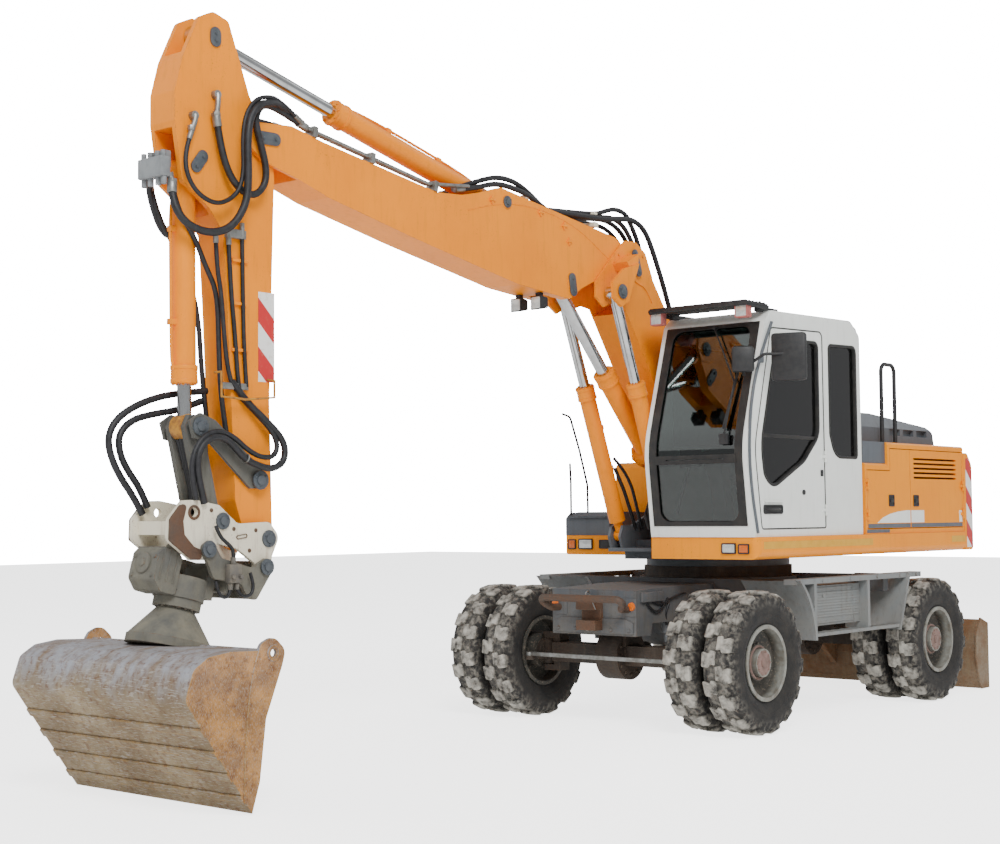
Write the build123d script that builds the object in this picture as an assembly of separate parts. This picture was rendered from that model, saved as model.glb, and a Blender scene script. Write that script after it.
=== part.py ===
from build123d import *
import math
import os

os.makedirs("parts", exist_ok=True)

# Wheeled excavator with a two-piece boom, a ditching bucket on a tilting rotator and a rear blade.
# Frame: +X to the boom end, +Y to the machine's left, +Z up, origin on the ground under the swing axis.
# All sizes are in millimetres.

# Running clearances
seat_gap = 0.3
pin_gap = 0.3
side_gap = 6.0

# Wheels
hub_x = 1410.0
tyre_radius = 527.5
lug_height = 24.0
block_inset = 6.0
belly_radius = 372.0
lugs_per_row = 15
tyre_width = 276.0
bead_radius = 262.0
bead_half = 97.0
rim_wall = 12.0
rim_lip = 17.0
rim_flare = 7.0
twin_outer_y = 1205.0
twin_inner_y = 870.0
disc_offset = 30.0
hub_radius = 132.0
hub_cap_radius = 104.0
hub_cap_reach = 88.0
hub_z = tyre_radius

# Axles and steering
kingpin_y = 705.0
kingpin_radius = 34.0
yoke_height = 150.0
yoke_thick = 44.0
yoke_boss = 54.0
knuckle_boss = 56.0
spindle_radius = 60.0
spindle_reach = 80.0
lever_x = 260.0
lever_y = kingpin_y
lever_z = -39.0
lever_thick = 30.0
lever_pin = 14.0
hub_inner_y = kingpin_y + 62.0
bulb_radius = 190.0
shaft_radius = 34.0

# Chassis
frame_end = 1750.0
frame_half_width = 400.0
frame_bottom = 790.0
frame_belly = 570.0
frame_top = 1065.0
frame_end_top = 1045.0
frame_end_bottom = 700.0
turret_top = 1100.0
ring_radius = 620.0
swing_plane = 1190.0
rail_y = 1205.0
rail_top = 1112.0
rail_height = 42.0
step_z = 690.0
hitch_bore = 20.0

# Rear blade, pins as (x, z)
blade_pivot = (-1825.0, 640.0)
blade_foot = (-1825.0, 905.0)
blade_eye = (-2260.0, 470.0)
blade_half_width = 1240.0
blade_cylinder_y = 300.0
blade_arm_y = 215.0
blade_arm_thick = 50.0

# Upper carriage
deck_bottom = 1276.0
skirt_top = 1441.0
deck_half_width = 1250.0
deck_rear = -2160.0
deck_front_left = 1395.0
deck_front_right = 520.0
deck_left_inner = 300.0
deck_right_inner = -330.0
hood_side = deck_half_width - 15.0
cowl_side = hood_side - 255.0
crown_bevel = 90.0
louvre_height = 17.0
hood_wall = 25.0
hood_front = -700.0
hood_top = 2205.0
cover_front = -306.0
cover_top = 2025.0
door_seam = -1110.0
door_gap = 6.0

# Cab
cab_right = 305.0
cab_left = 1222.0
cab_rear = -280.0
cab_wall = 46.0
cab_floor = skirt_top + seat_gap
glass_thick = 6.0
steering_radius = 180.0

# Boom plane and pins, as (x, z)
boom_y = -30.0
foot_pin = (135.0, 1750.0)
joint_pin = (1405.0, 3592.0)
hoist_base_pin = (1005.0, 1450.0)
hoist_eye_pin = (1735.0, 3318.0)
adjust_base_pin = (965.0, 2100.0)
adjust_eye_pin = (2135.0, 3358.0)
stick_pivot = (5208.0, 3935.0)
stick_base_pin = (2885.0, 3868.0)
stick_eye_pin = (5545.0, 4512.0)
bucket_base_pin = (5690.0, 3675.0)
bucket_eye_pin = (5675.0, 2150.0)
rocker_pin = (5230.0, 1840.0)
link_pin = (5535.0, 1597.0)
coupler_pin = (5178.0, 1488.0)
hook_hole = (5748.0, 1648.0)
hook_hole_radius = 26.0

# Half widths across the boom plane, from the inside out
stick_half = 116.0
boom_half = 150.0
head_inner = 155.0
head_half = 172.0
boom_lamp_y = 96.0
boom_lamp_half = 48.0
tower_inner = 182.0
tower_plate = 24.0
hoist_y = 247.0
hoist_outer = 302.0
rocker_inner = 122.0
rocker_outer = 144.0
coupler_inner = 152.0
coupler_outer = 180.0
bracket_inner = 186.0
bracket_outer = 210.0

# Tilting rotator: the tilt axis passes through tilt_centre and climbs forwards by tilt_slope degrees
tilt_centre = (5479.0, 1233.0)
tilt_slope = 15.0
grip_reach = 222.5
grip_height = 149.7
tilt_shaft = 48.0
rotor_offset = 209.0

# Bucket
bucket_half = 800.0
bucket_plate = 22.0
bucket_outline = [(5845, 12), (6305, 655), (6250, 815), (6150, 875), (5995, 895), (5740, 884), (5728, 846),
                  (5740, 790)]
bucket_radii = [0, 60, 60, 60, 60, 12, 12, 0]
bucket_eye = (5690.0, 868.0)
bucket_eye_radius = 22.0
lip_bar = (5744.0, 868.0)
lip_bar_radius = 25.0


def poly(points, y0, y1):
    # Closed outline of (x, z) points, extruded from y0 to y1
    plane = Plane(origin=(0, max(y0, y1), 0), x_dir=(1, 0, 0), z_dir=(0, -1, 0))
    face = make_face(plane * Polyline(*points, close=True))
    return extrude(face, abs(y1 - y0), dir=(0, -1, 0))


def rounded(points, radii, y0, y1):
    # The same with each corner rounded by its own radius, 0 for a sharp corner
    plane = Plane(origin=(0, max(y0, y1), 0), x_dir=(1, 0, 0), z_dir=(0, -1, 0))
    return extrude(plane * corner_face(points, radii), abs(y1 - y0), dir=(0, -1, 0))


def corner_face(points, radii):
    edges = []
    count = len(points)
    cuts = []
    for index in range(count):
        before = Vector(*points[index - 1])
        here = Vector(*points[index])
        after = Vector(*points[(index + 1) % count])
        towards_before = (before - here).normalized()
        towards_after = (after - here).normalized()
        radius = radii[index]
        if radius == 0:
            cuts.append((here, None, here))
            continue
        half = math.radians(towards_before.get_angle(towards_after)) / 2
        reach = radius / math.tan(half)
        start = here + towards_before * reach
        end = here + towards_after * reach
        bisector = (towards_before + towards_after).normalized()
        middle = here + bisector * (radius / math.sin(half) - radius)
        cuts.append((start, middle, end))
    for index in range(count):
        start, middle, end = cuts[index]
        if middle is not None:
            edges.append(ThreePointArc(start, middle, end))
        following = cuts[(index + 1) % count][0]
        if (following - end).length > 0.001:
            edges.append(Line(end, following))
    return make_face(edges)


def box(x0, x1, y0, y1, z0, z1):
    return Pos((x0 + x1) / 2, (y0 + y1) / 2, (z0 + z1) / 2) * Box(abs(x1 - x0), abs(y1 - y0), abs(z1 - z0))


def pin_y(pin, radius, y0, y1):
    # Cylinder along Y through the point pin = (x, z)
    return Pos(pin[0], (y0 + y1) / 2, pin[1]) * Rot(90, 0, 0) * Cylinder(radius, abs(y1 - y0))


def prism_x(points, x0, x1):
    # Closed outline of (y, z) points, extruded from x0 to x1
    plane = Plane(origin=(x0, 0, 0), x_dir=(0, 1, 0), z_dir=(1, 0, 0))
    return extrude(plane * make_face(Polyline(*points, close=True)), x1 - x0, dir=(1, 0, 0))


def pin_z(x, y, radius, z0, z1):
    return Pos(x, y, (z0 + z1) / 2) * Cylinder(radius, z1 - z0)


def rod_along(start, end, y, radius, from_start, to_start):
    # Cylinder in the plane y, from from_start to to_start measured along start-end
    direction = Vector(end[0] - start[0], 0, end[1] - start[1]).normalized()
    origin = Vector(start[0], y, start[1]) + direction * from_start
    plane = Plane(origin=origin, z_dir=direction)
    return plane * extrude(Circle(radius), to_start - from_start)


def distance(start, end):
    return math.hypot(end[0] - start[0], end[1] - start[1])


def tube_path(points, radius, bend):
    # Round bar through (x, y, z) points with rounded corners
    path = FilletPolyline(*points, radius=bend)
    return sweep(Plane(origin=path @ 0, z_dir=path % 0) * Circle(radius), path=path)


def curved_plate(start, middle, end, thick, y0, y1):
    # Plate that follows an arc of (x, z) points and is thick along X
    plane = Plane(origin=(0, max(y0, y1), 0), x_dir=(1, 0, 0), z_dir=(0, -1, 0))
    inner = [(x - thick, z) for x, z in (start, middle, end)]
    edges = [ThreePointArc(start, middle, end), Line(end, inner[2]),
             ThreePointArc(inner[2], inner[1], inner[0]), Line(inner[0], start)]
    return extrude(plane * make_face(edges), abs(y1 - y0), dir=(0, -1, 0))


def mirrored(solid):
    return mirror(solid, about=Plane.XZ)


def save(name, *pieces, place=None):
    solids = []
    for piece in pieces:
        for item in (piece if isinstance(piece, (list, tuple)) else [piece]):
            solids.extend(item.solids())
    if place is not None:
        solids = [place * solid for solid in solids]
    export_step(solids[0] if len(solids) == 1 else Compound(children=solids), f"parts/{name}.step")


boom_place = Pos(0, boom_y, 0)
tilt_place = Pos(tilt_centre[0], 0, tilt_centre[1]) * Rot(0, -tilt_slope, 0)


# Wheels: twin tyres with two rows of blocks, two dished rims on one drum

def tyre():
    # A ring of flat sectors: each block and each gap beside it fills one sector of its row
    step = 180 / lugs_per_row
    half_width = tyre_width / 2
    carcass = tyre_radius - lug_height
    reach = tyre_radius * math.tan(math.radians(step / 2))
    wedge = poly([(0, 0), (-1.2 * reach, 1.2 * tyre_radius), (1.2 * reach, 1.2 * tyre_radius)],
                 -half_width, half_width)
    sectors = []
    for side in (1, -1):
        # Each point is its place across the tyre and its radius
        section = [(side * bead_half, bead_radius), (side * half_width, belly_radius),
                   (side * half_width * 0.92, tyre_radius), (side * block_inset, tyre_radius),
                   (side * block_inset, carcass), (-side * half_width * 0.75, carcass),
                   (-side * half_width, belly_radius), (-side * bead_half, bead_radius)]
        sectors.append(prism_x(section, -reach, reach) & wedge)
    ring = [Rot(0, index * step, 0) * sectors[index % 2] for index in range(2 * lugs_per_row)]
    return ring[0].fuse(*ring[1:])


def rim():
    # The dished disc lies on the outer side of the rim's middle, the lips flare along the tyre's walls
    outer = bead_radius - seat_gap
    lip = bead_radius + rim_lip
    inner = outer - rim_wall
    seat = bead_half + seat_gap
    flared = seat + rim_flare
    edge = flared + rim_wall
    profile = Polyline(
        (outer, -seat), (lip, -flared), (lip, -edge), (inner, -edge),
        (inner, disc_offset - 40), (hub_radius - 5, disc_offset), (hub_radius - 5, disc_offset + 14),
        (hub_radius + 24, disc_offset + 14), (inner, disc_offset - 22),
        (inner, edge), (lip, edge), (lip, flared), (outer, seat), close=True)
    return revolve(make_face(profile), axis=Axis.Y)


def export_wheels():
    pair = [Pos(0, centre, 0) * tyre() for centre in (twin_outer_y, twin_inner_y)]
    drum = pin_y((0, 0), hub_radius, hub_inner_y, twin_outer_y + 44)
    drum += pin_y((0, 0), hub_cap_radius, twin_outer_y + 40, twin_outer_y + hub_cap_reach)
    drum += Pos(0, twin_outer_y, 0) * mirrored(rim()) + Pos(0, twin_inner_y, 0) * rim()
    drum -= pin_y((0, 0), spindle_radius + pin_gap, hub_inner_y - 1, hub_inner_y + spindle_reach + 10)
    for end, sign in (("front", 1), ("rear", -1)):
        place = Pos(sign * hub_x, 0, hub_z)
        save(f"tyres_{end}_left", pair, place=place)
        save(f"rims_{end}_left", drum, place=place)
        save(f"tyres_{end}_right", [mirrored(item) for item in pair], place=place)
        save(f"rims_{end}_right", mirrored(drum), place=place)


# Axles: banjo housing and beam, steering yokes in front, saddles under the frame

def axle_beam(reach, saddles):
    beam = box(-85, 85, -reach, reach, -75, 75)
    beam += Rot(90, 0, 0) * Cylinder(bulb_radius, 210)
    beam += Pos(-230, 0, 0) * Rot(0, 90, 0) * Cylinder(80, 220)
    for y0, y1 in saddles:
        beam += box(-110, 110, y0, y1, 70, frame_bottom - hub_z - seat_gap)
    return beam


def export_axles():
    reach = kingpin_y - 90
    front = axle_beam(reach, ((-130, 130),))
    for side in (1, -1):
        front += box(-62, 62, side * (reach - 60), side * reach, -yoke_height, yoke_height)
        for level in (1, -1):
            z0 = level * (yoke_height - yoke_thick)
            z1 = level * yoke_height
            front += box(-62, 62, side * (reach - 40), side * kingpin_y, z0, z1)
            front += Pos(0, side * kingpin_y, (z0 + z1) / 2) * Cylinder(yoke_boss, yoke_thick)
            front += Pos(0, side * kingpin_y, level * (yoke_height - 52)) * Cylinder(kingpin_radius, 92)
    save("axle_front", front, place=Pos(hub_x, 0, hub_z))
    rear = axle_beam(hub_inner_y - 40, ((-370, -230), (230, 370)))
    for side in (1, -1):
        rear += pin_y((0, 0), 120, side * (hub_inner_y - 46), side * (hub_inner_y - side_gap))
        rear += pin_y((0, 0), spindle_radius, side * (hub_inner_y - 10), side * (hub_inner_y + spindle_reach))
    save("axle_rear", mirror(rear, about=Plane.YZ), place=Pos(-hub_x, 0, hub_z))


def export_knuckles():
    head = yoke_height - yoke_thick - side_gap
    body = Pos(0, kingpin_y, 0) * Cylinder(knuckle_boss, 2 * head)
    body += pin_y((0, 0), spindle_radius, kingpin_y, hub_inner_y + spindle_reach)
    body += pin_y((0, 0), 98, kingpin_y + 20, hub_inner_y - side_gap)
    body -= Pos(0, kingpin_y, 0) * Cylinder(kingpin_radius + pin_gap, 2 * head + 2)
    lever = box(40, lever_x, lever_y - 30, lever_y + 30, lever_z - lever_thick / 2, lever_z + lever_thick / 2)
    lever += Pos(lever_x, lever_y, lever_z) * Cylinder(36, lever_thick)
    lever += Pos(lever_x, lever_y, lever_z + 31) * Cylinder(lever_pin, 40)
    body += lever
    place = Pos(hub_x, 0, hub_z)
    save("knuckle_left", body, place=place)
    save("knuckle_right", mirrored(body), place=place)
    tie_z = lever_z + lever_thick / 2 + seat_gap
    rod = box(-16, 16, -lever_y, lever_y, tie_z, tie_z + 30)
    for side in (1, -1):
        rod += Pos(0, side * lever_y, tie_z + 15) * Cylinder(lever_thick, 30)
        rod -= Pos(0, side * lever_y, tie_z + 15) * Cylinder(lever_pin + pin_gap, 60)
    save("tie_rod", rod, place=Pos(hub_x + lever_x, 0, hub_z))


# Chassis: box frame with turret, outriggers and blade brackets, slew ring, side steps

outrigger_x = (640.0, -380.0, -800.0)
outrigger_end = rail_y - 60.0
chest_x = (-320.0, 580.0)


def export_chassis():
    frame = poly(
        [(-frame_end, frame_end_bottom), (-frame_end + 40, frame_end_bottom), (-frame_end + 40, frame_bottom),
         (-1150, frame_bottom), (-870, frame_belly), (870, frame_belly), (1150, frame_bottom),
         (1540, frame_bottom), (1560, frame_end_bottom), (frame_end, frame_end_bottom),
         (frame_end, frame_end_top), (1150, frame_top), (-1150, frame_top), (-frame_end, frame_end_top)],
        -frame_half_width, frame_half_width)
    frame += pin_z(0, 0, ring_radius + 40, frame_top - 40, turret_top)
    for x in outrigger_x:
        frame += box(x - 45, x + 45, -outrigger_end + seat_gap, outrigger_end - seat_gap, 960, turret_top)
    for side in (1, -1):
        y = side * blade_cylinder_y
        for inner, outer in ((-54, -30), (30, 54)):
            frame += poly([(-1740, 970), (-1800, 960), (-1866, 925), (-1866, 885), (-1800, 850), (-1740, 840)],
                          y + inner, y + outer)
        frame += pin_y(blade_foot, 22, y - 54, y + 54)
        middle = side * blade_arm_y
        reach = blade_arm_thick / 2 + side_gap
        for inner, outer in ((-reach - 24, -reach), (reach, reach + 24)):
            frame += poly([(-1740, 700), (-1840, 690), (-1866, 640), (-1840, 595), (-1740, 590)],
                          middle + inner, middle + outer)
        frame += pin_y(blade_pivot, 30, middle - reach - 24, middle + reach + 24)
    frame += box(-1771, -1740, -frame_half_width, frame_half_width, 590, 970)
    save("chassis_frame", frame)
    save("slew_ring", pin_z(0, 0, ring_radius, turret_top + seat_gap, swing_plane - seat_gap))
    sides = []
    for side in (1, -1):
        inner = side * outrigger_end
        outer = side * (rail_y + 45)
        rail = box(-1240, 860, inner, outer, rail_top - rail_height, rail_top)
        rail += box(-840, 640, side * (rail_y - 40), side * (rail_y + 60), step_z - 26, step_z)
        chest = box(chest_x[0], chest_x[1], side * 860, side * (rail_y - 30), 735, 1048)
        for level in range(5):
            z = 800 + 44 * level
            chest += box(chest_x[0] + 60, chest_x[1] - 60, side * (rail_y - 32), side * (rail_y - 24), z, z + 18)
        rail += chest
        for x in (chest_x[0], chest_x[1] - 40):
            rail += box(x, x + 40, side * (rail_y - 60), outer, step_z - 20, rail_top - 20)
        rail += curved_plate((860, 1100), (720, 930), (640, 640), 34, side * 760, side * 1290)
        rail += poly([(-1010, 1100), (-975, 1100), (-790, 640), (-825, 640)], side * 760, side * 1270)
        sides.append(rail)
    save("side_steps", sides)
    bumper = tube_path([(frame_end - 10, 330, 905), (1850, 330, 905), (1930, 430, 985), (1930, -430, 985),
                        (1850, -330, 905), (frame_end - 10, -330, 905)], 28, 42)
    hitch = box(frame_end - 10, frame_end + 105, -90, 90, 740, 960)
    hitch -= box(frame_end + 30, frame_end + 115, -95, 95, 815, 895)
    hitch -= pin_z(frame_end + 70, 0, hitch_bore, 700, 1000)
    front = (bumper + hitch).cut(box(frame_end - 20, frame_end + seat_gap, -400, 400, 690, 1060))
    save("front_bumper", front)
    drive = Pos(0, 0, hub_z) * Rot(0, 90, 0) * Cylinder(shaft_radius, 2 * (hub_x - 340 - seat_gap))
    drive += box(-180, 180, -170, 170, hub_z - 110, frame_belly - seat_gap)
    save("drive_line", drive)


# Rear blade: curved mould board with end plates, two arms, two lift cylinders

blade_bore = 40.0
blade_rod = 24.0
blade_collar = 420.0


def export_blade():
    board = poly([(-2450, 620), (-2400, 560), (-2370, 430), (-2372, 300), (-2400, 170), (-2470, 40), (-2490, 12),
                  (-2460, 12), (-2425, 60), (-2376, 160), (-2346, 296), (-2344, 432), (-2376, 570), (-2430, 640)],
                 -blade_half_width + 12, blade_half_width - 12)
    for side in (1, -1):
        board += poly([(-2440, 655), (-2600, 600), (-2600, 12), (-2440, 12), (-2380, 120), (-2330, 300),
                       (-2340, 500)], side * (blade_half_width - 14), side * blade_half_width)
        middle = side * blade_arm_y
        half = blade_arm_thick / 2
        board += poly([(-1825, 686), (-1825, 594), (-2352, 180), (-2352, 360)], middle - half, middle + half)
        board += pin_y(blade_pivot, 46, middle - half, middle + half)
        board -= pin_y(blade_pivot, 30 + pin_gap, middle - half - 1, middle + half + 1)
        for inner, outer in ((-56, -32), (32, 56)):
            y = side * blade_cylinder_y
            board += poly([(-2352, 400), (-2240, 420), (-2215, 470), (-2240, 520), (-2360, 545)],
                          y + inner, y + outer)
    save("blade", board)
    length = distance(blade_foot, blade_eye)
    barrels = []
    rods = []
    for side in (1, -1):
        y = side * blade_cylinder_y
        barrel = pin_y(blade_foot, 46, y - 26, y + 26)
        barrel += rod_along(blade_foot, blade_eye, y, 24, 26, 80)
        barrel += rod_along(blade_foot, blade_eye, y, blade_bore, 72, blade_collar)
        barrel += rod_along(blade_foot, blade_eye, y, blade_bore + 8, blade_collar - 50, blade_collar)
        barrel -= pin_y(blade_foot, 22 + pin_gap, y - 60, y + 60)
        barrel -= rod_along(blade_foot, blade_eye, y, blade_rod + pin_gap, 86, blade_collar + 5)
        barrels.append(barrel)
        rod = rod_along(blade_foot, blade_eye, y, blade_rod, 225, length - 20)
        rods.append(rod + pin_y(blade_eye, 42, y - 26, y + 26))
    save("blade_barrels", barrels)
    save("blade_rods", rods)


# Upper carriage: deck, boom towers, counterweight, engine, hood with its doors, tank and rails

def edges_near(solid, *points):
    found = []
    for point in points:
        target = Vector(*point)
        found.append(min(solid.edges(), key=lambda edge: (edge.center() - target).length))
    return found


def export_deck():
    deck = box(deck_rear, 880, deck_right_inner + seat_gap, deck_left_inner - seat_gap,
               deck_bottom - 20, skirt_top - 30)
    deck += pin_z(0, 0, ring_radius - 20, swing_plane, deck_bottom - seat_gap)
    towers = []
    for side in (1, -1):
        plate_out = side * (tower_inner + tower_plate)
        towers.append(poly([(-160, skirt_top - 40), (20, 1820), (70, 1860), (200, 1860), (260, 1800), (930, 1530),
                            (1060, 1530), (1100, 1440), (1060, 1330), (860, 1330)], side * tower_inner, plate_out))
        towers.append(poly([(885, skirt_top - 60), (930, 1520), (1000, 1545), (1070, 1520), (1100, 1440),
                            (1060, 1330), (900, 1330)], side * (hoist_y + 41), side * (hoist_y + 65)))
        towers.append(pin_y(hoist_base_pin, 36, side * (tower_inner + 8), side * (hoist_y + 53)))
    towers.append(pin_y(foot_pin, 48, -tower_inner - tower_plate, tower_inner + tower_plate))
    towers.append(box(870, 1090, -312, 312, 1320, 1350))
    for tower in towers:
        deck += boom_place * tower
    save("deck_frame", deck)
    left = box(deck_rear, deck_front_left, deck_left_inner, deck_half_width, deck_bottom, skirt_top)
    left = fillet(edges_near(left, (-400, deck_half_width, deck_bottom), (deck_front_left, deck_half_width, 1358)),
                  55)
    right = box(deck_rear, deck_front_right, -deck_half_width, deck_right_inner, deck_bottom, skirt_top)
    right = fillet(edges_near(right, (-820, -deck_half_width, deck_bottom),
                              (deck_front_right, -deck_half_width, 1358)), 55)
    save("deck_panels", left, right)
    save("counterweight", rounded(
        [(deck_rear - seat_gap, deck_bottom), (deck_rear - seat_gap, 2150), (-2240, 2150), (-2330, 2040),
         (-2330, deck_bottom)], [0, 0, 60, 80, 40], -deck_half_width + 10, deck_half_width - 10))
    save("engine", box(-1750, -950, -500, 450, skirt_top + seat_gap, 2080))


def hinge(x, y, z, panel_side, door_thick):
    # A pin between two knuckles on the fixed side and one knuckle on the door, along Z
    knuckle = 11.0
    pin = 6.0
    leaf = panel_side * 42
    fixed_leaf = panel_side * 26
    face = y - knuckle - 1
    fixed = pin_z(x, y, pin, z - 44, z + 44)
    for z0 in (z - 44, z + 15):
        fixed += pin_z(x, y, knuckle, z0, z0 + 29)
        fixed += box(x - panel_side * 6, x - fixed_leaf, face - 2, y, z0, z0 + 29)
    moving = pin_z(x, y, knuckle, z - 14, z + 14) + box(x + panel_side * 6, x + leaf, face - 2, y, z - 14, z + 14)
    return fixed, moving - pin_z(x, y, pin + pin_gap, z - 50, z + 50)


def export_hood():
    hood = box(deck_rear, hood_front, -hood_side, hood_side, skirt_top + seat_gap, hood_top)
    hood += box(hood_front - 50, cover_front, cab_right + 25, hood_side, skirt_top + seat_gap, cover_top)
    inner_side = hood_side - hood_wall
    hood -= box(deck_rear + hood_wall, hood_front - hood_wall, -inner_side, inner_side,
                skirt_top, hood_top - hood_wall)
    hood -= box(hood_front - 60, cover_front - hood_wall, cab_right + 50, inner_side,
                skirt_top, cover_top - hood_wall)
    hood = fillet(edges_near(hood, (-1400, hood_side, hood_top), (-500, hood_side, cover_top),
                             (-1400, -hood_side, hood_top)), 24)
    low = skirt_top + 40
    front_x = cover_front - 30
    rear_x = deck_rear + 30
    front_top = cover_top - 55
    rear_top = hood_top - 50
    step_x = hood_front - 40
    front_cut = [(front_x, low), (front_x, front_top), (step_x, front_top), (step_x, rear_top),
                 (door_seam, rear_top), (door_seam, low)]
    hood -= poly(front_cut, inner_side - 5, hood_side + 5)
    hood -= box(rear_x, door_seam + 1, inner_side - 5, hood_side + 5, low, rear_top)
    hood += box(door_seam - 20, door_seam + 20, inner_side - 40, inner_side - 1, low - 30, rear_top + 30)
    front_door = poly([(front_x - door_gap, low + door_gap), (front_x - door_gap, front_top - door_gap),
                       (step_x - door_gap, front_top - door_gap), (step_x - door_gap, rear_top - door_gap),
                       (door_seam + door_gap / 2, rear_top - door_gap), (door_seam + door_gap / 2, low + door_gap)],
                      inner_side, hood_side)
    rear_door = box(rear_x + door_gap, door_seam - door_gap / 2, inner_side, hood_side,
                    low + door_gap, rear_top - door_gap)
    for level in range(5):
        z = 1905 + 40 * level
        rear_door -= box(door_seam - 70, rear_x + 120, inner_side - 5, hood_side + 5, z, z + louvre_height)
        hood -= box(door_seam - 70, rear_x + 120, -hood_side - 5, -inner_side + 5, z, z + louvre_height)
    for x, panel_side, name in ((front_x - door_gap / 2, -1, "front"), (rear_x + door_gap / 2, 1, "rear")):
        for z in (low + 120, front_top - 120):
            fixed, moving = hinge(x, hood_side + 12, z, panel_side, hood_wall)
            hood += fixed
            if name == "front":
                front_door += moving
            else:
                rear_door += moving
    save("engine_hood", hood)
    save("service_door_front", front_door)
    save("service_door_rear", rear_door)
    upper = rounded([(cover_front, hood_top + seat_gap), (cover_front, 2440), (-420, 2478), (-1056, 2478),
                     (-2000, 2385), (-2090, 2330), (-2125, hood_top + seat_gap)], [0, 60, 60, 300, 60, 40, 0],
                    -cowl_side, cowl_side)
    upper = upper.cut(box(cover_front - 640, cover_front + 5, -cowl_side - 20, cab_right + 25,
                          hood_top - 10, 2500))
    crown_top = cowl_side - crown_bevel
    crown = prism_x([(-cowl_side, 2200), (cowl_side, 2200), (cowl_side, 2350), (crown_top, 2480),
                     (-crown_top, 2480), (-cowl_side, 2350)], deck_rear, cover_front + 10)
    upper = upper & crown
    for index in range(3):
        x = -1250 - 260 * index
        upper -= box(x - 200, x, cowl_side - 40, cowl_side + 10, 2290, 2345)
    lower = box(hood_front + seat_gap, cover_front, cab_right + 25, hood_side - 20, cover_top + seat_gap, hood_top)
    save("upper_hood", upper, lower)


def export_tank_and_rails():
    save("fuel_tank", rounded([(-240, skirt_top + seat_gap), (-240, 2060), (-300, 2090),
                               (hood_front + seat_gap, 2090), (hood_front + seat_gap, skirt_top + seat_gap)],
                              [0, 40, 40, 0, 0], -hood_side, -480))
    step_face = corner_face([(deck_front_right - 12, skirt_top + seat_gap), (deck_front_right - 12, 1590),
                             (440, 1640), (-240 + seat_gap, 1640), (-240 + seat_gap, skirt_top + seat_gap)],
                            [0, 30, 30, 0, 0])
    save("step_box", plate_of(step_face, -hood_side, -760))
    loop = tube_path([(-960, 1060, hood_top), (-960, 1060, 2890), (-1200, 1060, 2890), (-1200, 1060, hood_top)],
                     18, 70)
    rods = [tube_path([(468, -1205, 1580), (468, -1205, 1900), (478, -1205, 2070)], 10, 60),
            tube_path([(225, -1205, 1600), (230, -1205, 1883), (340, -1205, 2190), (470, -1205, 2480),
                       (575, -1205, 2500)], 10, 60)]
    step_clear = plate_of(offset(step_face, seat_gap), -hood_side, -760)
    deck_cut = box(-1300, -900, 900, 1200, 2200, hood_top + seat_gap)
    save("handrails", loop.cut(deck_cut), [rod.cut(step_clear) for rod in rods])


# Cab: white shell with its windows, a door on the left, panes, the seat and controls

cab_side = [(cab_rear, cab_floor), (1405, cab_floor), (1490, 2120), (1190, 3080), (1110, 3150), (-130, 3175),
            (cab_rear, 3060)]
cab_radii = [0, 0, 700, 60, 40, 90, 60]
door_outline = [(330, 1500), (1285, 1500), (1370, 2110), (1115, 3020), (340, 3045)]
door_radii = [20, 30, 500, 50, 50]
door_window = [(400, 2220), (640, 2010), (1130, 1790), (1250, 1900), (1290, 2130), (1050, 2950), (400, 2965)]
door_window_radii = [180, 300, 160, 100, 500, 60, 60]
quarter_window = [(-215, 2050), (170, 2050), (250, 2240), (250, 2960), (-215, 2975)]
quarter_radii = [40, 160, 100, 50, 60]
side_window = (-180.0, 1150.0, 2150.0, 2950.0)
rear_window_y = (cab_right + 120, cab_left - 120)
rear_window_z = (2230.0, 2950.0)
screen_y = (cab_right + 70, cab_left - 70)
screen_z = (1540.0, 3060.0)


def shrink(points, radii, amount):
    # The same rounded outline moved inwards by amount, as a face in the (x, z) plane
    face = corner_face(points, radii)
    return offset(face, -amount)


def plate_of(face, y0, y1):
    plane = Plane(origin=(0, max(y0, y1), 0), x_dir=(1, 0, 0), z_dir=(0, -1, 0))
    return extrude(plane * face, abs(y1 - y0), dir=(0, -1, 0))


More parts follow.
